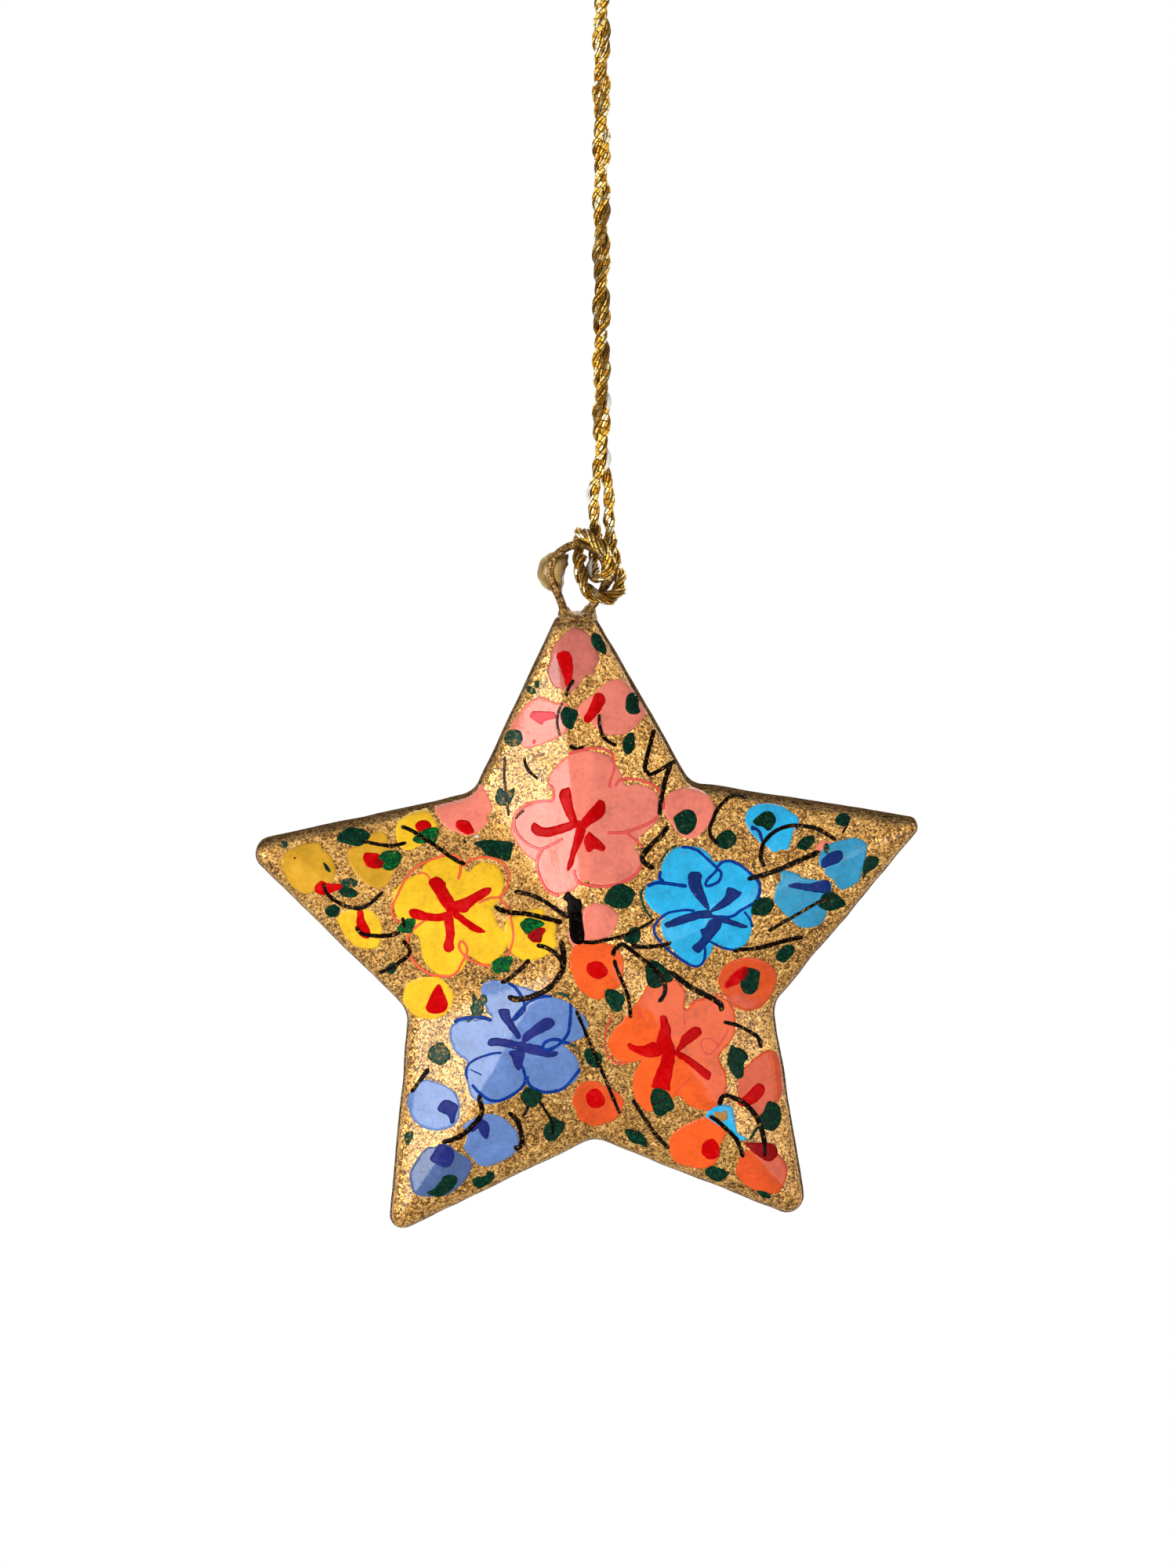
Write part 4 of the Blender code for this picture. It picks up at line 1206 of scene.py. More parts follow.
            ("violetInk", (595, 460, 640, 440, 705, 455, 715, 510, 740, 570, 820, 712, 805, 742, 770, 730,
                660, 590, 610, 520)),
            ("violetInk", (1080, 530, 1140, 545, 1158, 590, 1120, 640, 960, 720, 880, 770, 830, 772,
                840, 710, 900, 650, 1030, 550)),
            ("violetInk", (486, 792, 530, 735, 700, 750, 780, 770, 860, 775, 872, 850, 790, 852, 600, 815,
                520, 820)),
            ("violetInk", (860, 790, 950, 800, 1030, 820, 1100, 860, 1190, 870, 1170, 915, 1090, 930,
                1000, 910, 850, 872)),
            ("violetInk", (698, 882, 760, 850, 840, 858, 862, 900, 840, 970, 830, 1032, 792, 1062,
                750, 1010, 730, 940)),
            ("thinLeaf", (330, 290, 380, 348, 430, 300, 470, 310, 485, 370, 450, 410, 440, 480, 400, 520,
                350, 530, 300, 582, 278, 562, 330, 500, 310, 440, 340, 390)),
            ("thinLeaf", (-100, 860, -40, 800, 30, 785, 90, 850, 118, 900, 80, 970, 30, 1012, -40, 990,
                -110, 930)),
            ("leaf", (1450, 880, 1490, 840, 1550, 860, 1622, 900, 1632, 970, 1600, 1032, 1550, 1030,
                1480, 980)),
            ("leaf", (850, 1260, 900, 1235, 970, 1250, 1020, 1270, 1032, 1330, 990, 1390, 940, 1432,
                840, 1380, 820, 1320)),
        ),
        "lines": (
            ("blueLine", 36, (530, 567, 460, 535, 390, 528, 220, 545, 150, 580)),
            ("blueLine", 30, (690, 185, 750, 220, 800, 280, 840, 350, 857, 420, 840, 480, 740, 562,
                770, 510, 880, 390, 950, 350, 1040, 322, 1130, 320)),
            ("blueLine", 33, (1315, 388, 1316, 470, 1300, 650, 1270, 720, 1220, 780, 1150, 830, 1080, 852,
                1040, 840, 1050, 790, 1110, 755, 1180, 750, 1240, 775, 1312, 792)),
            ("blueLine", 24, (632, 885, 550, 890, 470, 910, 390, 940, 320, 980, 280, 1030, 270, 1090,
                287, 1152)),
            ("blueLine", 30, (330, 1200, 380, 1260, 450, 1320, 520, 1360, 610, 1360, 700, 1320, 780, 1270,
                840, 1210, 862, 1150, 852, 1080, 830, 1010)),
            ("blueLine", 30, (890, 1112, 880, 1150, 910, 1210, 960, 1250, 1050, 1276, 1150, 1270,
                1240, 1240, 1310, 1170, 1412, 1040)),
            ("blueLine", 14, (310, 1050, 380, 1082, 432, 1110)),
            ("thinLeaf", 24, (415, 195, 480, 142, 565, 130)),
            ("thinLeaf", 26, (1130, 302, 1220, 292, 1290, 328, 1312, 372)),
            ("thinLeaf", 24, (1312, 790, 1382, 850, 1422, 940, 1432, 1012)),
            ("black", 32, (1370, 458, 1808, 1490)),
            ("black", 48, (402, 1300, 410, 1370, 427, 1430, 424, 1490, 400, 1540, 290, 1660, 210, 1720,
                110, 1760, 32, 1778)),
            ("black", 26, (895, 1412, 870, 1470, 830, 1530)),
            ("black", 26, (1005, 1370, 1106, 1530, 1132, 1600, 1142, 1700)),
        ),
    },
    "orangeBloom": {
        "corner": (760, 1230),
        "enlarged": 7.84,
        "fills": (
            ("orange", (465, 302, 500, 225, 560, 190, 700, 170, 780, 150, 840, 190, 885, 240, 900, 300,
                884, 438, 930, 428, 960, 395, 1010, 360, 1180, 312, 1270, 330, 1340, 380, 1385, 460,
                1396, 550, 1395, 620, 1380, 700, 1340, 780, 1235, 930, 1300, 1080, 1310, 1180, 1300, 1280,
                1280, 1340, 1230, 1400, 1160, 1450, 1090, 1465, 930, 1410, 820, 1308, 700, 1420, 620, 1460,
                560, 1470, 490, 1460, 430, 1400, 390, 1330, 370, 1240, 370, 1150, 390, 1070, 430, 1010,
                452, 955, 390, 975, 310, 982, 230, 960, 170, 910, 130, 840, 125, 770, 150, 700, 210, 620,
                270, 560)),
            ("red", (640, 520, 680, 510, 710, 540, 745, 640, 752, 740, 792, 860, 770, 1070, 745, 1190,
                738, 1262, 650, 1240, 570, 1230, 565, 1180, 650, 950, 640, 860, 605, 790, 620, 700,
                645, 610)),
            ("red", (980, 625, 1040, 635, 1058, 680, 1020, 730, 880, 830, 820, 885, 785, 872, 830, 800,
                850, 730, 910, 670)),
            ("red", (315, 800, 350, 785, 400, 810, 480, 810, 560, 775, 620, 800, 655, 850, 640, 912,
                560, 932, 480, 915, 400, 885, 340, 850)),
            ("red", (780, 880, 860, 880, 1000, 970, 1135, 1070, 1147, 1110, 1110, 1157, 900, 980,
                830, 940)),
            ("leaf", (500, 20, 540, -30, 600, -35, 670, 10, 735, 65, 772, 125, 755, 170, 700, 185, 655, 220,
                590, 240, 535, 225, 508, 150)),
            ("leaf", (95, 260, 150, 245, 210, 265, 260, 300, 295, 340, 270, 400, 260, 460, 180, 468,
                140, 420, 100, 350)),
            ("leaf", (1345, 830, 1362, 802, 1390, 830, 1440, 835, 1500, 880, 1522, 930, 1480, 990,
                1470, 1120, 1400, 1137, 1320, 1000, 1325, 920)),
            ("leaf", (570, 1250, 630, 1240, 700, 1265, 745, 1310, 782, 1430, 720, 1470, 680, 1510,
                630, 1520, 590, 1490, 560, 1420, 545, 1340)),
        ),
        "lines": (
            ("vermilion", 14, (888, 440, 880, 520, 888, 610)),
            ("vermilion", 14, (1322, 640, 1300, 700, 1170, 880, 1110, 897, 1068, 860, 1050, 800, 1070, 752,
                1140, 743, 1200, 780, 1212, 822)),
            ("vermilion", 16, (170, 500, 130, 580, 100, 680, 90, 780, 110, 880, 160, 950, 220, 990,
                320, 988)),
            ("vermilion", 16, (750, 62, 820, 110, 870, 142)),
            ("vermilion", 16, (1180, 288, 1280, 308, 1350, 358, 1402, 440)),
            ("vermilion", 15, (930, 412, 1000, 362, 1080, 340)),
            ("vermilion", 14, (780, 1302, 850, 1230, 940, 1130)),
            ("vermilion", 14, (380, 430, 430, 480, 485, 560)),
            ("black", 55, (742, 72, 880, 180, 970, 240, 1212, 372, 1252, 430, 1242, 470)),
            ("black", 38, (1275, 575, 1400, 605, 1480, 640, 1568, 690, 1628, 740, 1654, 840)),
            ("vein", 15, (558, 1402, 640, 1375, 735, 1328)),
            ("vein", 13, (520, 210, 600, 140, 700, 95)),
        ),
    },
    "leftArm": {
        "corner": (320, 1000),
        "enlarged": 4.9,
        "fills": (
            # painted shade: these buds take a darker copy of the yellow, as the lamp lights them less
            ("dullYellow", (190, 470, 230, 420, 290, 385, 360, 370, 430, 370, 455, 410, 500, 450, 530, 520,
                525, 580, 490, 620, 420, 660, 350, 685, 300, 670, 250, 630, 215, 570, 190, 520)),
            ("dullYellow", (605, 460, 615, 405, 670, 385, 725, 345, 760, 312, 820, 298, 855, 340, 858, 385,
                900, 420, 935, 470, 910, 530, 850, 630, 790, 650, 730, 630, 680, 590, 630, 530)),
            ("yellow", (905, 290, 920, 235, 960, 200, 1010, 165, 1070, 148, 1105, 160, 1160, 250, 1150, 300,
                1100, 350, 1050, 390, 980, 415, 930, 395, 910, 350)),
            ("yellow", (545, 830, 590, 790, 650, 780, 740, 785, 790, 830, 820, 890, 815, 960, 790, 1020,
                720, 1030, 650, 1010, 590, 950, 555, 890)),
            ("pink", (1140, 120, 1180, 100, 1310, 78, 1360, 50, 1398, 5, 1425, -8, 1450, 10, 1510, 150,
                1480, 190, 1480, 240, 1440, 285, 1390, 315, 1340, 320, 1280, 300, 1220, 270, 1180, 220)),
            ("red", (400, 640, 440, 605, 490, 620, 560, 625, 575, 640, 540, 665, 460, 690, 410, 680)),
            ("red", (700, 460, 720, 430, 790, 435, 835, 480, 830, 520, 770, 532, 720, 510)),
            ("red", (1025, 260, 1060, 230, 1110, 235, 1127, 270, 1090, 312, 1050, 302)),
            ("red", (670, 788, 700, 788, 715, 850, 740, 900, 752, 950, 720, 966, 670, 930, 660, 870)),
            ("red", (1285, 235, 1320, 225, 1360, 235, 1385, 270, 1396, 305, 1350, 315, 1300, 290,
                1280, 260)),
            ("freshLeaf", (790, 470, 830, 425, 880, 415, 935, 430, 937, 480, 900, 530, 850, 541, 800, 500)),
            ("darkRed", (780, 472, 815, 466, 838, 495, 810, 522, 780, 502)),
            ("freshLeaf", (1010, 347, 1060, 300, 1110, 275, 1165, 275, 1170, 320, 1150, 375, 1100, 370,
                1050, 372)),
            ("leaf", (540, 350, 570, 300, 620, 275, 680, 280, 742, 310, 730, 350, 700, 382, 650, 388)),
            ("thinLeaf", (560, 605, 620, 588, 667, 610, 655, 640, 600, 650, 566, 632)),
            ("leaf", (550, 662, 600, 645, 662, 670, 655, 706, 600, 706, 562, 690)),
            ("leaf", (475, 770, 520, 752, 556, 780, 545, 820, 500, 832, 465, 800)),
            ("leaf", (450, 492, 470, 502, 500, 545, 490, 552, 465, 530)),
            ("thinLeaf", (195, 362, 222, 358, 228, 388, 208, 400, 192, 384)),
            ("darkRed", (268, 458, 282, 458, 282, 470, 270, 470)),
            ("chip", (1402, 322, 1420, 315, 1430, 328, 1415, 340, 1402, 334)),
        ),
        "lines": (
            ("black", 22, (455, 618, 475, 680, 530, 730, 600, 765, 680, 776, 740, 750, 826, 674)),
            ("black", 22, (700, 360, 850, 386, 920, 380, 972, 367)),
            ("black", 24, (938, 267, 1000, 290, 1130, 370, 1270, 470, 1342, 502)),
            ("black", 25, (655, 888, 690, 930, 750, 945, 850, 948, 925, 922)),
        ),
    },
    "rightArm": {
        "corner": (820, 990),
        "enlarged": 4.7515,
        "fills": (
            ("pink", (140, 130, 180, 90, 250, 70, 330, 75, 390, 110, 425, 160, 436, 210, 420, 260, 390, 310,
                350, 350, 290, 378, 230, 360, 150, 260, 125, 200)),
            ("sky", (650, 195, 700, 170, 770, 165, 840, 180, 890, 210, 945, 260, 935, 300, 910, 340,
                880, 440, 840, 445, 790, 460, 760, 430, 720, 410, 680, 370, 640, 320, 620, 270, 625, 225)),
            ("dullSky", (1130, 410, 1240, 380, 1300, 375, 1345, 400, 1356, 450, 1320, 610, 1290, 650,
                1240, 680, 1200, 686, 1170, 660, 1160, 628, 1110, 600, 1100, 560, 1070, 540, 1065, 490,
                1090, 440)),
            ("dullSky", (835, 580, 870, 570, 930, 590, 990, 620, 1130, 640, 1140, 690, 1120, 740, 1075, 770,
                1110, 820, 1100, 870, 1060, 905, 1010, 918, 950, 912, 900, 870, 810, 780, 795, 740,
                812, 660, 840, 630)),
            ("dullOrange", (455, 1230, 475, 1175, 520, 1130, 590, 1105, 660, 1100, 740, 1120, 795, 1165,
                812, 1230, 790, 1300, 750, 1370, 680, 1415, 620, 1422, 560, 1395, 510, 1340, 470, 1290)),
            ("leaf", (215, 225, 260, 205, 300, 210, 325, 250, 320, 300, 290, 345, 250, 356, 215, 335,
                185, 260)),
            ("leaf", (740, 215, 785, 220, 806, 260, 795, 300, 760, 332, 730, 312, 690, 300, 665, 275,
                700, 240)),
            ("navy", (660, 300, 700, 318, 722, 350, 728, 392, 716, 396, 690, 334, 656, 326)),
            ("navy", (1078, 520, 1110, 480, 1160, 455, 1200, 455, 1212, 490, 1180, 525, 1130, 545,
                1088, 556)),
            ("navy", (880, 670, 930, 645, 1000, 650, 1110, 630, 1136, 660, 1130, 700, 1070, 706)),
            ("pink", (1045, 436, 1080, 395, 1130, 395, 1135, 410, 1110, 440, 1085, 456, 1060, 452)),
            ("thinLeaf", (1095, 415, 1120, 408, 1132, 440, 1118, 470, 1098, 460)),
            ("red", (600, 1155, 640, 1160, 640, 1200, 600, 1240, 550, 1270, 500, 1283, 500, 1250,
                540, 1200)),
            ("leaf", (620, 1162, 700, 1175, 706, 1220, 690, 1290, 650, 1323, 610, 1310, 590, 1260,
                600, 1210)),
            ("darkRed", (604, 1166, 640, 1168, 644, 1195, 606, 1240, 596, 1222)),
            ("leaf", (440, 385, 470, 345, 520, 325, 561, 360, 560, 405, 520, 440, 480, 440, 445, 415)),
            ("leaf", (940, 400, 980, 370, 1030, 360, 1040, 395, 1010, 430, 980, 450, 935, 430)),
            ("leaf", (1180, 240, 1220, 225, 1256, 250, 1250, 285, 1220, 305, 1180, 295, 1165, 265)),
            ("leaf", (1345, 510, 1380, 485, 1420, 490, 1430, 520, 1400, 560, 1360, 580, 1338, 620,
                1330, 590, 1335, 540)),
            ("leaf", (820, 1060, 870, 1025, 915, 1030, 916, 1065, 880, 1110, 850, 1130, 810, 1105)),
            ("leaf", (1070, 750, 1090, 715, 1140, 700, 1180, 720, 1230, 772, 1190, 800, 1130, 816,
                1080, 800, 1060, 780)),
        ),
        "lines": (
            ("black", 30, (633, 626, 800, 575, 1072, 458)),
            ("black", 23, (545, 1060, 600, 1050, 700, 1041, 870, 995, 970, 974)),
            ("black", 22, (630, 130, 560, 112, 510, 140, 460, 190, 430, 250, 405, 320, 415, 370, 455, 412)),
            ("black", 24, (737, 552, 715, 490, 725, 420, 760, 370, 810, 330, 880, 305, 950, 300, 1020, 310,
                1070, 325, 1170, 386)),
            ("black", 18, (760, 940, 1030, 780, 1080, 756, 1136, 744)),
            ("black", 12, (1246, 290, 1225, 320, 1208, 352)),
        ),
    },
    "lowLeftArm": {
        "corner": (480, 1370),
        "enlarged": 5.227,
        "fills": (
            ("violet", (270, 60, 330, 40, 420, 60, 500, 100, 545, 150, 556, 220, 550, 290, 520, 340,
                450, 370, 370, 376, 300, 350, 240, 300, 215, 240, 205, 180, 225, 120)),
            ("violet", (575, 345, 640, 300, 710, 272, 770, 266, 835, 285, 890, 330, 940, 385, 950, 440,
                935, 505, 885, 555, 810, 592, 735, 617, 670, 600, 640, 560, 600, 520, 585, 480, 605, 430,
                600, 380)),
            ("dullViolet", (430, 465, 480, 470, 530, 510, 610, 560, 640, 600, 620, 660, 580, 720, 480, 800,
                400, 815, 300, 815, 250, 790, 230, 740, 222, 690, 240, 620, 290, 540, 340, 490, 390, 485)),
            ("violetInk", (470, 170, 520, 190, 550, 220, 532, 270, 522, 320, 495, 326, 480, 280, 410, 240,
                430, 190)),
            ("violetInk", (620, 340, 650, 315, 702, 308, 690, 350, 640, 385, 620, 370)),
            ("violetInk", (700, 300, 750, 330, 752, 390, 730, 432, 680, 370)),
            ("violetInk", (430, 470, 500, 490, 520, 540, 500, 600, 460, 622, 400, 600, 360, 570, 380, 520)),
            ("leaf", (335, 785, 390, 760, 450, 680, 500, 670, 540, 690, 530, 730, 490, 780, 430, 816,
                370, 810)),
            ("leaf", (640, 720, 660, 690, 720, 680, 750, 648, 785, 665, 772, 710, 700, 756, 660, 750)),
            ("thinLeaf", (190, 400, 240, 380, 245, 410, 220, 465, 200, 471)),
            ("leaf", (1115, 400, 1130, 340, 1180, 285, 1210, 310, 1250, 320, 1253, 360, 1190, 439,
                1130, 435)),
        ),
        "lines": (
            ("black", 26, (350, -38, 235, 122)),
            ("black", 32, (880, 255, 922, 290, 952, 340, 967, 400, 972, 450, 950, 490, 915, 484)),
        ),
    },
    "lowRightArm": {
        "corner": (720, 1370),
        "enlarged": 4.9,
        "fills": (
            ("dullOrange", (95, 60, 150, 45, 220, 50, 260, 80, 310, 100, 355, 140, 370, 190, 320, 280,
                200, 325, 140, 310, 90, 280, 70, 220, 50, 180, 60, 120)),
            ("orange", (690, 360, 740, 325, 850, 275, 900, 275, 1005, 355, 970, 450, 965, 520, 930, 570,
                860, 590, 780, 580, 700, 555, 665, 510, 655, 450, 660, 400)),
            ("dullOrange", (1085, 60, 1100, -20, 1150, -60, 1200, -110, 1260, -145, 1320, -140, 1358, -80,
                1370, 0, 1366, 80, 1350, 150, 1300, 195, 1220, 262, 1120, 190, 1085, 140)),
            ("dullOrange", (1085, 550, 1110, 495, 1160, 475, 1230, 500, 1290, 480, 1340, 500, 1385, 560,
                1392, 620, 1370, 690, 1330, 740, 1280, 748, 1210, 735, 1140, 700, 1095, 660, 1070, 610)),
            ("sky", (900, 230, 940, 200, 1000, 190, 1050, 215, 1070, 320, 1090, 370, 1137, 400, 1125, 416,
                1090, 405, 1050, 370, 900, 285, 888, 255)),
            ("bareGold", (940, 232, 975, 238, 1005, 225, 1018, 250, 1015, 282, 985, 295, 950, 268,
                935, 250)),
            ("red", (140, 115, 190, 88, 230, 110, 252, 150, 245, 190, 200, 212, 160, 200, 135, 160)),
            ("red", (870, 430, 910, 402, 945, 415, 970, 470, 960, 520, 905, 533, 865, 505, 855, 470)),
            ("red", (1130, 130, 1180, 75, 1220, 58, 1252, 85, 1240, 130, 1190, 180, 1130, 200, 1090, 196,
                1085, 170)),
            ("darkRed", (1130, 430, 1270, 430, 1320, 455, 1331, 500, 1290, 541, 1240, 535, 1150, 460)),
            ("leaf", (380, 345, 440, 355, 490, 375, 510, 420, 519, 456, 475, 440, 430, 430, 400, 400)),
            ("leaf", (880, 605, 920, 573, 1000, 600, 1026, 625, 990, 660, 950, 669, 900, 640)),
            ("leaf", (1270, 170, 1330, 185, 1353, 240, 1350, 300, 1305, 353, 1240, 340, 1215, 320,
                1220, 270, 1250, 220)),
            ("leaf", (1205, 727, 1260, 735, 1292, 765, 1280, 775, 1230, 760)),
        ),
        "lines": (
            ("black", 22, (427, 160, 550, 350, 652, 466)),
            ("leaf", 15, (1210, 328, 1182, 370, 1158, 412)),
            ("black", 29, (968, 196, 980, 150, 1010, 134, 1060, 150, 1120, 180, 1180, 240, 1220, 310,
                1245, 400, 1250, 460, 1248, 520)),
            ("black", 25, (903, 258, 960, 295, 1060, 390, 1090, 440, 1118, 520)),
        ),
    },
    "middle": {
        "corner": (690, 1110),
        "enlarged": 7.467,
        "fills": (
            ("pink", (400, 385, 440, 345, 500, 315, 560, 316, 615, 325, 665, 350, 715, 395, 738, 450, 722,
                520, 690, 590, 640, 640, 560, 662, 480, 670, 400, 690, 330, 725, 300, 720, 270, 660, 258,
                590, 300, 560, 380, 500)),
            ("orange", (300, 740, 350, 710, 400, 690, 500, 692, 620, 692, 680, 712, 730, 750, 770, 810,
                790, 880, 785, 960, 775, 1050, 760, 1090, 720, 1130, 680, 1135, 620, 1130, 610, 1180,
                600, 1215, 540, 1230, 480, 1215, 420, 1180, 370, 1140, 320, 1040, 280, 950, 270, 880,
                278, 800)),
            ("red", (430, 930, 450, 885, 510, 865, 570, 870, 600, 900, 635, 950, 630, 990, 600, 1020,
                545, 1038, 490, 1020, 445, 980)),
            ("leaf", (840, 565, 880, 545, 905, 540, 945, 570, 950, 620, 935, 670, 890, 710, 850, 700,
                800, 675, 785, 650, 800, 620, 830, 600)),
            ("bar", (215, 245, 265, 205, 290, 235, 340, 270, 385, 290, 388, 400, 400, 500, 415, 610,
                405, 680, 375, 708, 330, 700, 290, 670, 272, 600, 268, 480, 250, 380, 255, 310, 222, 285)),
        ),
        "lines": (
            ("black", 34, (400, 684, 500, 688, 600, 668, 700, 648, 790, 622, 850, 596)),
            ("vein", 26, (830, 604, 880, 582, 950, 548, 1020, 508, 1080, 466)),
            ("black", 40, (690, 822, 690, 780, 716, 738, 770, 704, 830, 738, 910, 800, 970, 850, 1050, 910,
                1110, 975, 1150, 1040, 1180, 1100, 1176, 1170, 1150, 1220, 1118, 1256)),
            ("black", 38, (860, 716, 950, 732, 1050, 726, 1130, 720, 1190, 705, 1240, 682)),
            ("black", 34, (700, 848, 708, 900, 745, 1000, 790, 1090, 822, 1180, 842, 1270, 852, 1380, 856,
                1412)),
        ),
    },
}


# Colours of paint as they look on the star, their height over the skin in mm, how much gold shows through
paints = {
    "pink": {"colour": (250, 132, 110), "lift": 0.050, "bare": 0.02},
    # painted shade: a darker copy of the pink, for the top bud on a facet turned from the lamp
    "dullPink": {"colour": (204, 106, 92), "lift": 0.050, "bare": 0.02},
    "yellow": {"colour": (254, 196, 6), "lift": 0.050, "bare": 0.05},
    # painted shade: a darker copy of the yellow, for buds near the left arm's tip that the lamp lights less
    "dullYellow": {"colour": (218, 160, 10), "lift": 0.050, "bare": 0.05},
    "sky": {"colour": (26, 184, 240), "lift": 0.050, "bare": 0.03},
    "dullSky": {"colour": (44, 154, 198), "lift": 0.050, "bare": 0.05},
    "violet": {"colour": (100, 134, 196), "lift": 0.050, "bare": 0.03},
    "dullViolet": {"colour": (72, 98, 150), "lift": 0.050, "bare": 0.05},
    "orange": {"colour": (252, 92, 6), "lift": 0.050, "bare": 0.02},
    "dullOrange": {"colour": (226, 78, 8), "lift": 0.050, "bare": 0.03},
    "chip": {"colour": (226, 220, 210), "lift": 0.050, "bare": 0.0},
    "coral": {"colour": (226, 58, 50), "lift": 0.066, "bare": 0.02},
    "amber": {"colour": (232, 78, 14), "lift": 0.066, "bare": 0.02},
    "vermilion": {"colour": (214, 44, 16), "lift": 0.066, "bare": 0.10},
    "rose": {"colour": (240, 84, 92), "lift": 0.068, "bare": 0.0, "coat": 0.10},
    "navy": {"colour": (26, 50, 118), "lift": 0.070, "bare": 0.02, "coat": 0.05},
    "violetInk": {"colour": (40, 48, 124), "lift": 0.070, "bare": 0.02, "coat": 0.05},
    "red": {"colour": (206, 3, 6), "lift": 0.074, "bare": 0.0, "coat": 0.05},
    "bareGold": {"colour": (150, 120, 60), "lift": 0.076, "bare": 0.8},
    "blueLine": {"colour": (8, 56, 146), "lift": 0.080, "bare": 0.03, "coat": 0.05},
    "thinLeaf": {"colour": (18, 66, 52), "lift": 0.086, "bare": 0.22, "coat": 0.10},
    "freshLeaf": {"colour": (10, 66, 36), "lift": 0.087, "bare": 0.06, "coat": 0.05, "mottle": (4, 128, 44)},
    "leaf": {"colour": (10, 40, 30), "lift": 0.088, "bare": 0.03, "coat": 0.04, "mottle": (14, 74, 46)},
    "darkRed": {"colour": (150, 8, 12), "lift": 0.098, "bare": 0.0, "coat": 0.04},
    "vein": {"colour": (24, 18, 10), "lift": 0.100, "bare": 0.0, "coat": 0.04},
    # stems painted grey in place of black: partly thin paint with gold showing, partly painted highlight
    # where the glare lies
    "smudge": {"colour": (64, 48, 48), "lift": 0.102, "bare": 0.20, "coat": 0.04},
    "black": {"colour": (14, 6, 4), "lift": 0.106, "bare": 0.14, "coat": 0.03},
    "bar": {"colour": (8, 3, 2), "lift": 0.122, "bare": 0.02, "coat": 0.03},
}
paintLayer = {
    "rim": 0.012,  # how far the edge of a petal stands out
    "petals": 0.060,  # petals are thinner than this, all else is above it
    "edge": 0.014,
    "depth": 0.10,  # how far a mark goes down into the skin
    "edgeStep": 2.2,  # in the photograph's pixels
    "fillStep": 2.7,
    "waver": 0.75,
    "waverSize": 5.5,
    "lineStep": 1.6,
    "roundEnd": 0.45,  # a line gets its full width after this share of it
    "press": 0.22,  # the brush presses more and less, over this many pixels
    "pressSize": 9.0,
    "bow": 0.004,
    "fillStack": 0.0002,  # marks of one paint that cross lie at heights of their own
    "lineStack": 0.0003,
    "stack": 9,
    "pulls": 12,  # a point beside the star is pulled in by small steps
    "pull": 0.006,
}


def linearColour(seen):
    return tuple((channel / 255 / 12.92) if channel <= 10 else ((channel / 255 + 0.055) / 1.055) ** 2.4
                 for channel in seen)


def paler(colour, change):
    return tuple(min(1.0, channel * change[0] + change[1]) for channel in colour)


paintLook = {
    "darker": 0.78,
    "lighter": (1.14, 0.012),
    "patches": ((2.6, 3.0, 0.6, 0.6), (0.5, 2.0, 0.6, 0.4)),  # size, detail, roughness and weight
    "bits": 0.36,
    "specks": 1.3,
    "speckTone": (0.05, 0.03, 0.02),
    "worn": 0.42,
    "middle": (1.4, 0.07),  # how much paler the middle of a pen's line is
}


def paintFinish(name, spec):
    coat = spec.get("coat", 0.55)
    finish, tree, shader, where = newFinish(
        name, roughness=0.45, coat=coat, coatRoughness=0.13, specular=0.06 if coat > 0.2 else 0.0)
    base = linearColour(spec["colour"])
    darker = tuple(channel * paintLook["darker"] for channel in base)
    lighter = paler(base, paintLook["lighter"])
    patches = [(noiseNode(tree, where, *patch[:3]), patch[3]) for patch in paintLook["patches"]]
    colour = rampNode(tree, weighed(tree, *patches), ((0.35, darker), (0.50, base), (0.66, lighter)))
    if "mottle" in spec:
        bits = rampNode(tree, noiseNode(tree, where, paintLook["bits"], 3.0, 0.7), ((0.50, 0.0), (0.62, 1.0)))
        colour = mixColours(tree, bits, colour, linearColour(spec["mottle"]))
    dark = mathNode(tree, "LESS_THAN", cellNode(tree, where, paintLook["specks"])["Distance"], 0.055)
    colour = mixColours(tree, times(tree, dark, 0.45), colour, paintLook["speckTone"])
    if spec["bare"]:
        grain = noiseNode(tree, where, paintLook["worn"], 4.0, 0.75)
        worn = mathNode(tree, "GREATER_THAN", grain, 0.68 - 0.55 * spec["bare"])
        colour = mixColours(tree, times(tree, worn, 0.75), colour, goldPaint["body"])
    tree.links.new(colour, shader.inputs["Base Color"])
    tree.links.new(paperBump(tree, where, 0.7), shader.inputs["Normal"])
    tree.links.new(paperBump(tree, where, 0.42), shader.inputs["Coat Normal"])
    return finish


# A felt pen's line is palest along its middle and darkest where the ink gathered at its edges
def penFinish(name, spec):
    finish = paintFinish(name, spec)
    tree = finish.node_tree
    shader = tree.nodes["Principled BSDF"]
    flat = shader.inputs["Base Color"].links[0].from_socket
    pale = paler(linearColour(spec["colour"]), paintLook["middle"])
    across = mathNode(tree, "ABSOLUTE", attributeNode(tree, "across"))
    middle = rampNode(tree, across, ((0.22, 0.8), (0.60, 0.0)))
    tree.links.new(mixColours(tree, middle, flat, pale), shader.inputs["Base Color"])
    return finish


pens = ("coral", "amber", "vermilion")
for name, spec in paints.items():
    finishes[name] = (penFinish if name in pens else paintFinish)(name + "Paint", spec)


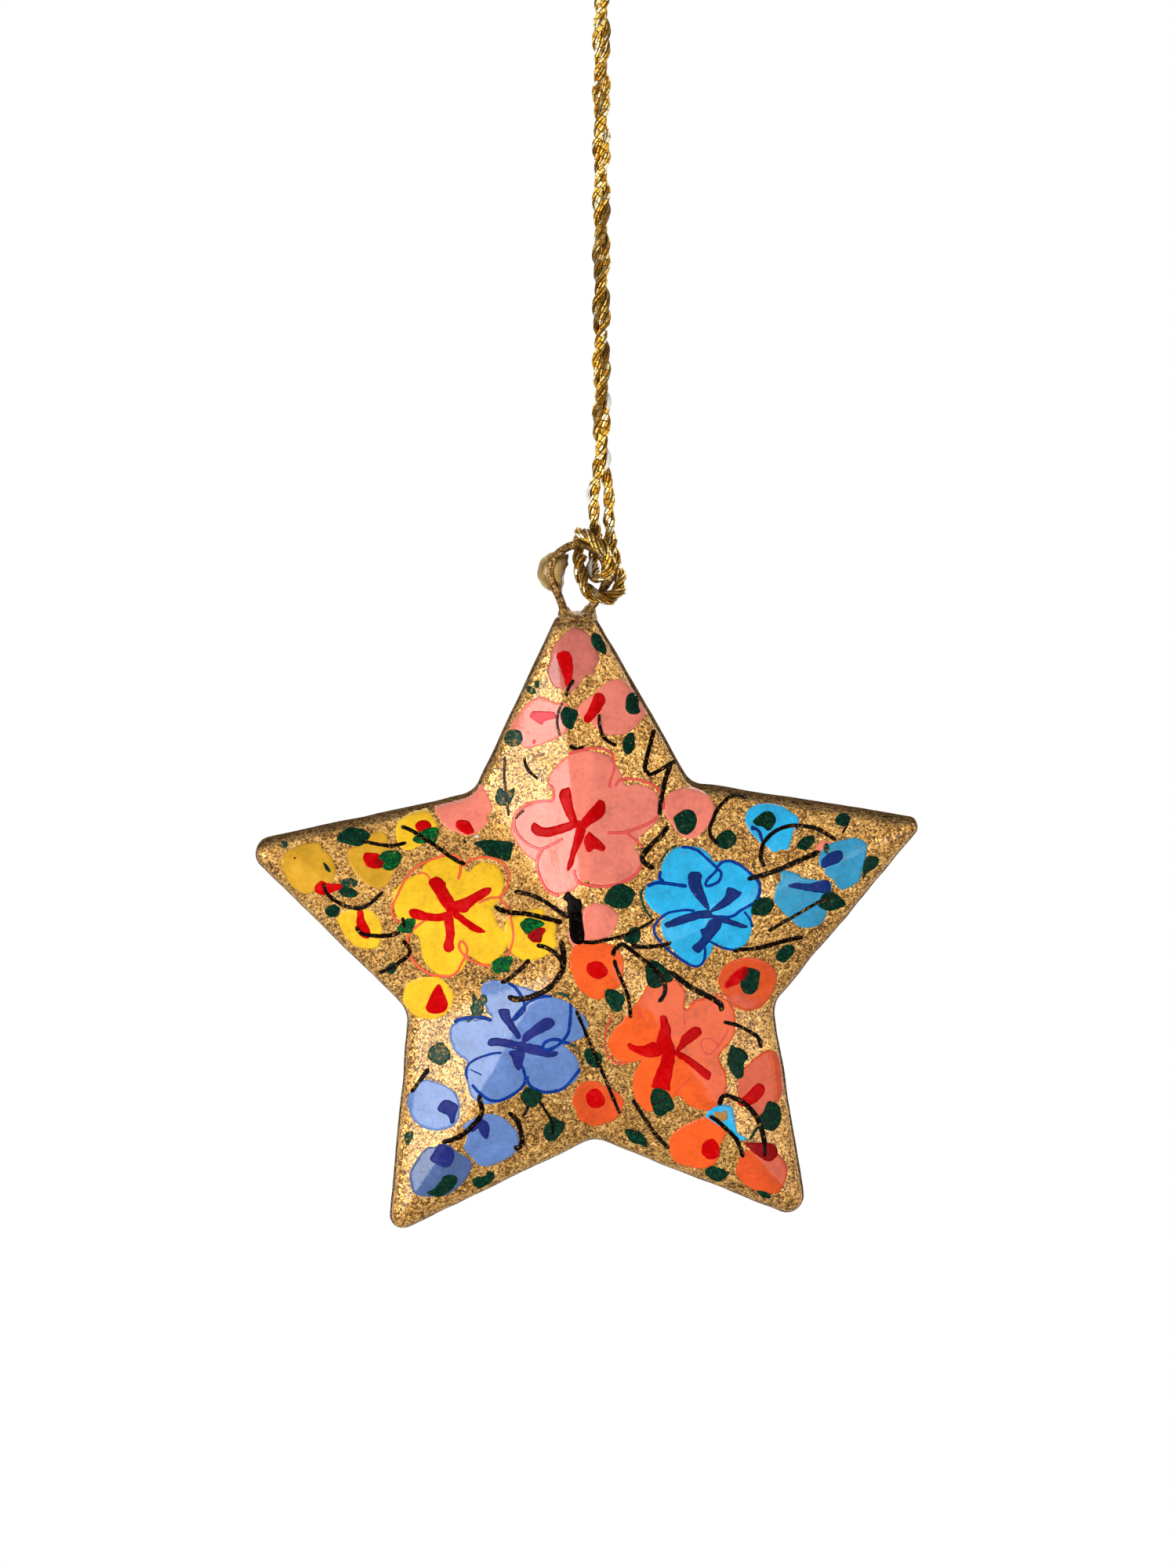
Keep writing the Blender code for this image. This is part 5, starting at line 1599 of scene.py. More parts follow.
# A closed line through points, rounded, at even steps and with a brush's waver
def brushEdge(points, seed):
    points = np.array(points, float)
    fine = curveBetween([points[-1], *points, *points[:2]], 8)
    fine = np.array([*fine, fine[0]])
    run = lengthSoFar(fine)
    count = max(8, round(run[-1] / paintLayer["edgeStep"]))
    edge = pointsAt(np.linspace(0.0, run[-1], count, endpoint=False), run, fine)
    for point in edge:
        spot = Vector((point[0], point[1], 0.0)) / paintLayer["waverSize"]
        point += paintLayer["waver"] * np.array(noise.noise_vector(spot + Vector((0.0, 0.0, seed))))[:2]
    return edge


def insideOf(edge, spots, margin):
    follow = np.roll(edge, -1, axis=0)
    inside = np.zeros(len(spots), bool)
    nearest = np.full(len(spots), 1e9)
    for start, end in zip(edge, follow):
        crosses = (start[1] > spots[:, 1]) != (end[1] > spots[:, 1])
        if start[1] != end[1]:
            at = start[0] + (spots[:, 1] - start[1]) / (end[1] - start[1]) * (end[0] - start[0])
            inside ^= crosses & (spots[:, 0] < at)
        run = end - start
        share = np.clip(((spots - start) @ run) / max(run @ run, 1e-9), 0.0, 1.0)
        nearest = np.minimum(nearest, np.linalg.norm(spots - start - share[:, None] * run, axis=1))
    return inside & (nearest > margin)


# Flat marks collect here by paint: places in pixels, heights in mm, faces, and place across a line
class FlatPaint:
    def __init__(self):
        self.places = []
        self.lifts = []
        self.across = []
        self.faces = []

    # The same sheet twice, the lower one turned over, with walls between their open edges
    def add(self, places, lifts, across, faces, ends):
        first, count = len(self.places), len(places)
        under = [[count + corner for corner in reversed(face)] for face in faces]
        walls = [(start, start + count, end + count, end) for start, end in ends]
        self.places += [tuple(place) for place in places] * 2
        self.lifts += [*lifts, *[-paintLayer["depth"]] * count]
        self.across += [*across, *across]
        self.faces += [tuple(first + corner for corner in face) for face in (*faces, *under, *walls)]


# A petal thins out to the ground at its rim, and what lies on petals stays above them
def rimOf(lift):
    return paintLayer["rim"] if lift < paintLayer["petals"] else lift - paintLayer["edge"]


def fillMark(flat, points, lift, seed):
    edge = brushEdge(points, seed)
    low, high = edge.min(axis=0), edge.max(axis=0)
    step = paintLayer["fillStep"]
    rows = np.arange(low[1], high[1], step * 0.866)
    spots = np.array([(x + (step / 2 if row % 2 else 0.0), y) for row, y in enumerate(rows)
                      for x in np.arange(low[0], high[0], step)])
    spots = spots[insideOf(edge, spots, step * 0.5)] if len(spots) else spots
    corners = [Vector(point) for point in edge] + [Vector(point) for point in spots]
    places, _, faces = geometry.delaunay_2d_cdt(corners, [], [list(range(len(edge)))], 1, 1e-4)[:3]
    ends = {}
    for face in faces:
        for start, end in zip(face, [*face[1:], face[0]]):
            if (end, start) in ends:
                del ends[(end, start)]
            else:
                ends[(start, end)] = True
    onRim = {corner for pair in ends for corner in pair}
    lifts = [rimOf(lift) if index in onRim else lift for index in range(len(places))]
    flat.add(places, lifts, [1.0] * len(places), faces, ends)


def lineMark(flat, points, width, lift, seed):
    line = smoothRoute([(*point, 0.0) for point in points], paintLayer["lineStep"], 8)[:, :2]
    ahead = np.gradient(line, axis=0)
    ahead /= np.linalg.norm(ahead, axis=1)[:, None]
    side = np.stack([-ahead[:, 1], ahead[:, 0]], axis=1)
    run = lengthSoFar(line)
    reach = np.minimum(run, run[-1] - run)
    half = width / 2 * np.sqrt(np.clip(reach / (width * paintLayer["roundEnd"]), 0.04, 1.0))
    press = [noise.noise(Vector((place / paintLayer["pressSize"], seed, 2.0))) for place in run]
    half = half * (1 + paintLayer["press"] * np.array(press))
    shares = (-1.0, -0.6, 0.0, 0.6, 1.0)
    rim, low = rimOf(lift), lift - paintLayer["bow"]
    places = [tuple(line[index] + side[index] * half[index] * share)
              for index in range(len(line)) for share in shares]
    wide = len(shares)
    lifts = [*[rim] * wide, *[rim, low, lift, low, rim] * (len(line) - 2), *[rim] * wide]
    rows = range(0, wide * len(line), wide)
    faces = [(row + cross, row + cross + 1, row + wide + cross + 1, row + wide + cross)
             for row in rows[:-1] for cross in range(wide - 1)]
    loop = [*range(wide), *[row + wide - 1 for row in rows[1:]],
            *[rows[-1] + cross for cross in reversed(range(wide - 1))], *reversed(rows[1:-1])]
    flat.add(places, lifts, list(shares) * len(line), faces, zip(loop, [*loop[1:], loop[0]]))


# Geometry Nodes that lay flat marks on a skin along the lines from an eye
def layingTree():
    tree, given = newTree("layPaint", (("Skin", "Object"), ("Eye", "Vector")))
    skin = addNode(tree, "GeometryNodeObjectInfo", transform_space="ORIGINAL")
    tree.links.new(given["Skin"], skin.inputs["Object"])
    shot = addNode(tree, "GeometryNodeRaycast")
    ray = vectorNode(tree, "SUBTRACT", addNode(tree, "GeometryNodeInputPosition").outputs[0], given["Eye"])
    for name, value in (("Target Geometry", skin.outputs["Geometry"]), ("Source Position", given["Eye"]),
                        ("Ray Direction", ray)):
        tree.links.new(value, shot.inputs[name])
    lift = addNode(tree, "GeometryNodeInputNamedAttribute", data_type="FLOAT")
    lift.inputs["Name"].default_value = "lift"
    rise = vectorNode(tree, "SCALE", shot.outputs["Hit Normal"], scale=times(tree, lift.outputs[0], mm))
    laid = addNode(tree, "GeometryNodeSetPosition")
    for name, value in (("Geometry", given["Geometry"]), ("Selection", shot.outputs["Is Hit"]),
                        ("Position", vectorNode(tree, "ADD", shot.outputs["Hit Position"], rise))):
        tree.links.new(value, laid.inputs[name])
    smooth = addNode(tree, "GeometryNodeSetShadeSmooth")
    tree.links.new(laid.outputs[0], smooth.inputs[0])
    endTree(tree, smooth.outputs[0], given["Finish"])
    return tree


laying = layingTree()


# Lays collected marks: toPlane turns a mark's own place into a point in space for the ray to pass
def layMarks(name, flat, toPlane, skin, tree, eye, finish):
    centre = toPlane(starMiddle)
    spots = []
    for place in flat.places:
        spot = toPlane(place)
        for _ in range(paintLayer["pulls"]):
            if tree.ray_cast(eye, (spot - eye).normalized())[0] is not None:
                break
            spot = spot.lerp(centre, paintLayer["pull"])
        spots.append(spot)
    mesh = bpy.data.meshes.new(name)
    mesh.from_pydata(spots, [], flat.faces)
    storeValues(mesh, "lift", flat.lifts)
    storeValues(mesh, "across", flat.across)
    laid = settle(newPiece(name, mesh), laying, {"Skin": skin, "Eye": eye, "Finish": finish})
    shape = bmesh.new()
    shape.from_mesh(laid.data)
    bmesh.ops.recalc_face_normals(shape, faces=shape.faces)
    shape.to_mesh(laid.data)
    shape.free()
    return laid


starMiddle = (751.0, 1208.0)  # the star's middle in the photograph


def photoPlane(place):
    _, aim = pixelRay(*place)
    return photoCamera.location + aim * photoView["distance"] * mm


def layPainting(side, layers, toPlane, skin, eye):
    tree = BVHTree.FromObject(skin, bpy.context.evaluated_depsgraph_get())
    for paint, flat in layers.items():
        if not flat.places:
            continue
        name = side + paint[0].upper() + paint[1:]
        piece = layMarks(name, flat, toPlane, skin, tree, eye, finishes[paint])
        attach(piece, "star")
        print("%s %s: %d faces" % (side, paint, len(piece.data.polygons)))


# Collects the marks of one side, each a little higher than the last
class Painting:
    def __init__(self):
        self.layers = {name: FlatPaint() for name in paints}
        self.marks = 0

    def nextLift(self, paint, rise):
        self.marks += 1
        return paints[paint]["lift"] + rise * (self.marks % paintLayer["stack"])

    def fill(self, paint, points):
        lift = self.nextLift(paint, paintLayer["fillStack"])
        fillMark(self.layers[paint], points, lift, self.marks)

    def line(self, paint, width, points):
        lift = self.nextLift(paint, paintLayer["lineStack"])
        lineMark(self.layers[paint], points, width, lift, self.marks)


def paintFront():
    front = Painting()
    for tracing in frontMarks.values():
        corner, scale = tracing["corner"], tracing["enlarged"]

        def places(points):
            return [(corner[0] + x / scale, corner[1] + y / scale) for x, y in zip(points[::2], points[1::2])]

        for paint, points in tracing["fills"]:
            front.fill(paint, places(points))
        for paint, width, points in tracing["lines"]:
            front.line(paint, width / scale, places(points))
    layPainting("front", front.layers, photoPlane, starFront, photoCamera.location)


paintFront()


# The back isn't in the photograph. It follows the front's habits: a bloom on each arm, buds of the same
# paint beyond it, leaves at their sides, and pen strokes over all. Sizes are in the photograph's pixels
backPaint = {
    "seed": 5,
    "eye": 1.2,  # metres behind the star
    "arms": (  # direction in degrees, then the paint of the petals, of the heart and of the pen
        (90, "sky", "navy", "blueLine"), (162, "orange", "red", "vermilion"), (234, "pink", "red", "coral"),
        (306, "yellow", "red", "amber"), (18, "violet", "violetInk", "blueLine"),
    ),
    "bloom": {"out": 158, "reach": 88, "notch": 0.36},
    "buds": ((276, -54, 37), (290, 44, 34), (366, -4, 32)),  # out along the arm, to its side, and size
    "leaves": ((70, 4, 22), (236, 96, 24), (238, -108, 20), (322, -12, 21), (330, 62, 17), (412, 6, 15)),
    "stems": (
        ((58, 62), (110, 92), (170, 104), (216, 92), (248, 66)),
        ((44, -30), (80, -78), (140, -104), (196, -98)),
        ((250, -8), (282, -2), (318, 12), (342, 34)),
        ((318, -64), (340, -40), (376, -30), (398, -10)),
    ),
}


def paintBack():
    chance = np.random.default_rng(backPaint["seed"])
    back = Painting()

    def place(arm, out, aside):
        turn = math.radians(arm)
        return (starMiddle[0] + out * math.cos(turn) - aside * math.sin(turn),
                starMiddle[1] - out * math.sin(turn) - aside * math.cos(turn))

    def shake(reach):
        return chance.uniform(-reach, reach)

    def blot(paint, middle, reach, narrow, turn):
        points = []
        for angle in np.linspace(0.0, 2 * math.pi, 11, endpoint=False):
            far = reach * (1 + shake(0.10))
            along, across = far * math.cos(angle), far * narrow * math.sin(angle)
            points.append((middle[0] + along * math.cos(turn) - across * math.sin(turn),
                           middle[1] + along * math.sin(turn) + across * math.cos(turn)))
        back.fill(paint, points)

    def stroke(paint, start, turn, length, wide):
        ahead = Vector((math.cos(turn), math.sin(turn)))
        side = Vector((-ahead.y, ahead.x)) * wide / 2
        sides = ((0.0, 0.25), (0.35, 0.55), (0.78, 1.0), (0.98, 0.6))
        both = [*sides, *((share, -half) for share, half in reversed(sides))]
        back.fill(paint, [Vector(start) + ahead * length * share + side * half for share, half in both])

    def bloom(arm, petal, heart, pen):
        shape = backPaint["bloom"]
        middle = place(arm, shape["out"] + shake(6), shake(8))
        reach = shape["reach"] * (1 + shake(0.07))
        first = shake(0.6)
        petals = 1 + chance.uniform(-0.09, 0.09, 5)
        edge = []
        for step in range(40):
            swell = abs(math.sin(math.pi * step / 8)) ** 0.6
            far = reach * petals[step // 8] * (1 - shape["notch"] * (1 - swell))
            angle = first + 2 * math.pi * step / 40
            edge.append(Vector((middle[0] + far * math.cos(angle), middle[1] + far * math.sin(angle))))
        back.fill(petal, edge)
        for number in range(5):
            out = Vector((shake(5), shake(5)))
            petalEdge = edge[8 * number:8 * number + 9]
            arc = [point + (point - Vector(middle)) * 0.045 + out for point in petalEdge]
            back.line(pen, 2.9, arc[:7 + int(chance.integers(0, 2))])
            turn = first + 2 * math.pi * (number + 0.5) / 5 + shake(0.15)
            start = Vector(middle) + Vector((math.cos(turn), math.sin(turn))) * 4
            stroke(heart, start, turn, reach * (0.50 + shake(0.10)), 14 + shake(3))

    for arm, petal, heart, pen in backPaint["arms"]:
        bloom(arm, petal, heart, pen)
        for out, aside, size in backPaint["buds"]:
            middle = place(arm, out + shake(8), aside + shake(5))
            blot(petal, middle, size * (1 + shake(0.12)), 0.86, shake(3.0))
            stroke(heart, middle, shake(3.1), size * 0.72, size * 0.46)
        for out, aside, size in backPaint["leaves"]:
            middle = place(arm, out + shake(9), aside + shake(7))
            blot("leaf", middle, size * (1 + shake(0.15)), 0.62, shake(3.0))
        for stem in backPaint["stems"]:
            back.line("black", 5.2 + shake(0.8),
                      [place(arm, out + shake(7), aside + shake(6)) for out, aside in stem])
    blot("yellow", place(50, 30, 6), 30, 0.8, 0.4)
    stroke("red", place(50, 30, 6), 2.0, 22, 15)

    def plane(spot):
        across, down = spot[0] - starMiddle[0], spot[1] - starMiddle[1]
        return starFrame @ (Vector((-across, 0.0, -down)) * photoView["mmPerPixel"] * mm)

    layPainting("back", back.layers, plane, starBack, starFrame @ Vector((0.0, backPaint["eye"], 0.0)))


paintBack()


# The cord, as in part.py: each strand is two plies, and each ply a few flat gilt threads
cord = {
    "diameter": 1.3,
    "joinHeight": 4.4,
    "joinSpread": 0.85,
    "tuck": (24, 21),  # the hanging strands go on into the hitch by this many steps, right and left
    "pairSpread": 0.45,
    "twistBottom": 8.6,
    "twistTop": 9.5,
    "halfTurns": 9,
    "pairStep": 1.2,
    "bight": ((0.8, -8.1), (1.3, -6.2), (1.95, -4.2), (2.2, -2.3), (1.85, -0.6), (0.95, 0.35)),
    "hitch": (
        (0.85, 0.05, 3.2), (0.9, 0.5, 2.2), (1.0, 1.3, 0.9), (1.2, 1.9, -0.6), (1.65, 1.95, -2.1),
        (2.1, 1.2, -3.4), (2.15, -0.1, -4.45), (1.5, -1.35, -5.3), (0.3, -2.05, -5.55),
        (-0.95, -2.1, -5.15), (-1.95, -1.85, -4.05), (-2.3, -1.3, -2.7), (-2.45, -0.5, -1.6),
        (-2.45, 0.6, -1.15), (-2.5, 1.55, -0.6), (-2.55, 1.95, 0.4), (-2.5, 1.4, 1.35),
        (-2.35, 0.2, 1.78), (-1.75, -0.85, 1.6), (-0.85, -1.55, 1.0), (0.1, -1.8, 0.1),
        (0.75, -1.95, -0.9), (0.85, -1.95, -2.0), (0.25, -1.75, -2.95), (-0.6, -1.05, -3.25),
        (-0.95, 0.0, -2.75), (-0.9, 0.95, -1.9), (-0.75, 1.6, -0.9), (-0.65, 1.85, 0.3),
        (-0.65, 1.4, 1.5), (-0.75, 0.55, 2.4), (-0.85, 0.05, 3.2),
    ),
    "step": 0.16,
    "plyReach": 0.235,
    "plyPitch": 5.0,
    "threads": 5,
    "threadReach": 0.265,
    "threadSize": 0.165,
    "threadPitch": 16.0,
    "sides": 8,
    "coreSize": 0.20,
    "loose": 1.08,  # where nothing draws the strands tight, they are this much thicker
    "looseHitch": 1.40,
    "crossing": 0.12,  # in the twist, the one in front spreads by this share
    "clear": 0.02,
    "windReach": 0.035,  # the threads stand this far out of the declared thickness
    "loosening": 2.5,
    "tightest": 0.88,
    "ribbonWidth": 0.80,
    "tones": ((0.24, (0.42, 0.180, 0.012)), (0.42, (0.76, 0.400, 0.044)), (0.60, (0.98, 0.61, 0.11)),
              (0.76, (1.0, 0.81, 0.34)), (0.90, (1.0, 0.94, 0.68))),
    "joint": ((0.0, 1.0), (0.09, 0.9), (0.17, 0.0), (0.94, 0.0), (1.0, 1.0)),
    "jointAndShadeTone": (0.085, 0.034, 0.005),
    "ribbonShift": 91.37,  # each thread's ribbon begins somewhere else
    "swings": (-12, -6, 0, 6, 12),  # degrees of the star's swing that the hitch keeps clear of
    "swingHeight": -75.7,
}


def strandRoute(side):
    bottom, top = cord["twistBottom"] - star["eyeDrop"], -cord["twistTop"]
    join = cord["joinHeight"] - star["eyeDrop"]
    run = [(side * cord["joinSpread"], 0.0, join), (side * cord["joinSpread"], 0.0, (join + bottom) / 2)]
    steps = round((top - bottom) / cord["pairStep"])
    for step in range(steps + 1):
        angle = math.pi * cord["halfTurns"] * step / steps
        run.append((side * cord["pairSpread"] * math.cos(angle), side * cord["pairSpread"] * math.sin(angle),
                    bottom + (top - bottom) * step / steps))
    return run


# The whole cord is one line. It is cut where the strands pass into the hitch
def cordLines():
    hitch = smoothRoute([(x, y, z - star["eyeDrop"]) for x, y, z in (
        (cord["joinSpread"], 0.0, cord["joinHeight"]), *cord["hitch"],
        (-cord["joinSpread"], 0.0, cord["joinHeight"]))], cord["step"])
    right = [(x, 0.0, z) for x, z in cord["bight"]]
    left = [(-x, 0.0, z) for x, z in reversed(cord["bight"])]
    over = [*right, (0.0, 0.0, cord["diameter"] / 2), *left]
    if cord["halfTurns"] % 2:
        over = [(-x, y, z) for x, y, z in over]
    loop = smoothRoute([*strandRoute(1), *over, *reversed(strandRoute(-1))], cord["step"])
    first, last = cord["tuck"]
    return (hitch[first:-last], np.concatenate([hitch[first:0:-1], loop, hitch[-2:-last - 2:-1]]))


# How far each point of a line is from the wire, wherever the star has swung
def clearOfWire(line):
    points = wirePoints()
    joint = Vector((0.0, 0.0, cord["swingHeight"]))
    places = [starFrame @ (Vector(point) * mm) / mm - joint for point in points]
    swept = np.array([Matrix.Rotation(math.radians(swing), 3, "X") @ place + joint
                      for swing in cord["swings"] for place in places])
    radii = np.tile(wireRadii(points), len(cord["swings"]))
    return np.array([(np.linalg.norm(swept - point, axis=1) - radii).min() for point in line])


# Strands are drawn tight by the wire and in the twist, and swell where they hang free
def swelling(line, loose):
    room = (clearOfWire(line) - cord["clear"]) / (cord["diameter"] / 2 + cord["windReach"])
    height = line[:, 2] + star["eyeDrop"]
    free = np.clip((cord["twistBottom"] + 1.0 - height) / cord["loosening"], 0.0, 1.0)
    spread = cord["crossing"] * np.clip(np.abs(line[:, 1]) / cord["pairSpread"], 0.0, 1.0) * (1 - free)
    return np.minimum(1.0 + (loose - 1.0) * free + spread, np.clip(room, cord["tightest"], loose))


# Geometry Nodes that wind plies round a strand's line, and threads round each ply. The attribute "along"
# counts the mm along a thread, and "shown" is 1 where it faces out of its ply and below 0 where it is hidden
def windingTree():
    tree, given = newTree("windThreads", (
        ("Plies", "Int"), ("Threads", "Int"), ("Ply reach", "Float"), ("Ply pitch", "Float"),
        ("Thread reach", "Float"), ("Thread pitch", "Float"), ("Thread size", "Float"),
        ("Core size", "Float"), ("Sides", "Int")))
    smoothed = addNode(tree, "GeometryNodeSetCurveNormal")
    tree.links.new(given["Geometry"], smoothed.inputs["Curve"])

    def turned(ahead, side, angle):
        across = vectorNode(tree, "CROSS_PRODUCT", ahead, side)
        return vectorNode(tree, "ADD",
                          vectorNode(tree, "SCALE", side, scale=mathNode(tree, "COSINE", angle)),
                          vectorNode(tree, "SCALE", across, scale=mathNode(tree, "SINE", angle)))

    def stored(shape, name, kind, value):
        node = addNode(tree, "GeometryNodeStoreNamedAttribute", data_type=kind, domain="POINT")
        node.inputs["Name"].default_value = name
        tree.links.new(shape, node.inputs["Geometry"])
        tree.links.new(value, node.inputs["Value"])
        return node.outputs[0]

    def wound(count, size, threads=None):
        copies = addNode(tree, "GeometryNodeDuplicateElements", domain="SPLINE")
        tree.links.new(smoothed.outputs[0], copies.inputs["Geometry"])
        tree.links.new(count, copies.inputs["Amount"])
        index = copies.outputs["Duplicate Index"]
        along = addNode(tree, "GeometryNodeSplineParameter").outputs["Length"]
        ahead = addNode(tree, "GeometryNodeInputTangent").outputs[0]
        side = addNode(tree, "GeometryNodeInputNormal").outputs[0]
        swell = addNode(tree, "GeometryNodeInputRadius").outputs[0]
        ply = mathNode(tree, "FLOOR", mathNode(tree, "DIVIDE", index, threads)) if threads else index
        outwards = turned(ahead, side, times(tree, plus(
            tree, mathNode(tree, "DIVIDE", along, given["Ply pitch"]),
            mathNode(tree, "DIVIDE", ply, given["Plies"])), 2 * math.pi))
        shift = vectorNode(tree, "SCALE", outwards, scale=times(tree, swell, given["Ply reach"]))
        if threads:
            outwards = turned(ahead, outwards, times(tree, minus(
                tree, mathNode(tree, "DIVIDE", index, threads),
                mathNode(tree, "DIVIDE", along, given["Thread pitch"])), 2 * math.pi))
            reach = times(tree, swell, given["Thread reach"])
            shift = vectorNode(tree, "ADD", shift, vectorNode(tree, "SCALE", outwards, scale=reach))
        placed = addNode(tree, "GeometryNodeSetPosition")
        tree.links.new(copies.outputs["Geometry"], placed.inputs["Geometry"])
        tree.links.new(shift, placed.inputs["Offset"])
        unlike = plus(tree, mathNode(tree, "DIVIDE", along, mm), times(tree, index, cord["ribbonShift"]))
        marked = stored(placed.outputs[0], "along", "FLOAT", unlike)
        aimed = stored(marked, "outwards", "FLOAT_VECTOR", outwards)
        ring = addNode(tree, "GeometryNodeCurvePrimitiveCircle")
        tree.links.new(given["Sides"], ring.inputs["Resolution"])
        tree.links.new(size, ring.inputs["Radius"])
        tube = addNode(tree, "GeometryNodeCurveToMesh")
        tube.inputs["Fill Caps"].default_value = True
        tree.links.new(aimed, tube.inputs["Curve"])
        tree.links.new(ring.outputs[0], tube.inputs["Profile Curve"])
        aim = addNode(tree, "GeometryNodeInputNamedAttribute", data_type="FLOAT_VECTOR")
        aim.inputs["Name"].default_value = "outwards"
        normal = addNode(tree, "GeometryNodeInputNormal").outputs[0]
        shown = stored(tube.outputs[0], "shown", "FLOAT",
                       vectorNode(tree, "DOT_PRODUCT", aim.outputs[0], normal))
        cleared = addNode(tree, "GeometryNodeRemoveAttribute")
        cleared.inputs["Name"].default_value = "outwards"
        tree.links.new(shown, cleared.inputs[0])
        return cleared.outputs[0]

    both = addNode(tree, "GeometryNodeJoinGeometry")
    total = times(tree, given["Plies"], given["Threads"])
    tree.links.new(wound(total, given["Thread size"], given["Threads"]), both.inputs[0])
    tree.links.new(wound(given["Plies"], given["Core size"]), both.inputs[0])
    shaded = addNode(tree, "GeometryNodeSetShadeSmooth")
    tree.links.new(both.outputs[0], shaded.inputs[0])
    endTree(tree, shaded.outputs[0], given["Finish"])
    return tree


# Gilt yarn: a flat gold ribbon wound on a white core, which shows a dark joint at every turn, and painted
# shade darkens the side of each thread that faces into its ply
def cordFinish():
    finish, tree, shader, where = newFinish("giltThread", roughness=0.28, metallic=0.82, specular=0.0)
    turns = mathNode(tree, "DIVIDE", attributeNode(tree, "along"), cord["ribbonWidth"])
    ribbon = addNode(tree, "ShaderNodeTexWhiteNoise", noise_dimensions="1D")
    tree.links.new(mathNode(tree, "FLOOR", turns), ribbon.inputs["W"])
    shade = weighed(tree, (ribbon.outputs["Value"], 0.72), (noiseNode(tree, where, 0.5), 0.40))
    colour = rampNode(tree, shade, cord["tones"])
    joint = rampNode(tree, mathNode(tree, "FRACT", turns), cord["joint"])
    # painted shade on the side of each thread that faces into its ply
    innerShade = rampNode(tree, plus(tree, attributeNode(tree, "shown"), 0.5), ((0.20, 1.0), (0.56, 0.0)), "EASE")
    dark = times(tree, mathNode(tree, "MAXIMUM", joint, innerShade), 0.88)
    tree.links.new(mixColours(tree, dark, colour, cord["jointAndShadeTone"]), shader.inputs["Base Color"])
    tree.links.new(bumpNode(tree, minus(tree, 1.0, joint), 0.06), shader.inputs["Normal"])
    return finish


finishes["gilt"] = cordFinish()
winding = windingTree()


# A curve object from lines of points in mm, with a share of thickness at each point
def threadCurve(name, lines):
    curve = bpy.data.curves.new(name, "CURVE")
    curve.dimensions = "3D"
    curve.twist_mode = "MINIMUM"
    for points, swell in lines:
        spline = curve.splines.new("POLY")
        spline.points.add(len(points) - 1)
        for spot, point, size in zip(spline.points, points, swell):
            spot.co = (*(Vector(point) * mm), 1.0)
            spot.radius = size
    return newPiece(name, curve)


def windCord(name, points, swell):
    sizes = {label: cord[key] * mm for label, key in (
        ("Ply reach", "plyReach"), ("Ply pitch", "plyPitch"), ("Thread reach", "threadReach"),
        ("Thread pitch", "threadPitch"), ("Thread size", "threadSize"), ("Core size", "coreSize"))}
    return settle(threadCurve(name, [(points, swell)]), winding, {
        "Plies": 2, "Threads": cord["threads"], "Sides": cord["sides"], "Finish": finishes["gilt"], **sizes})


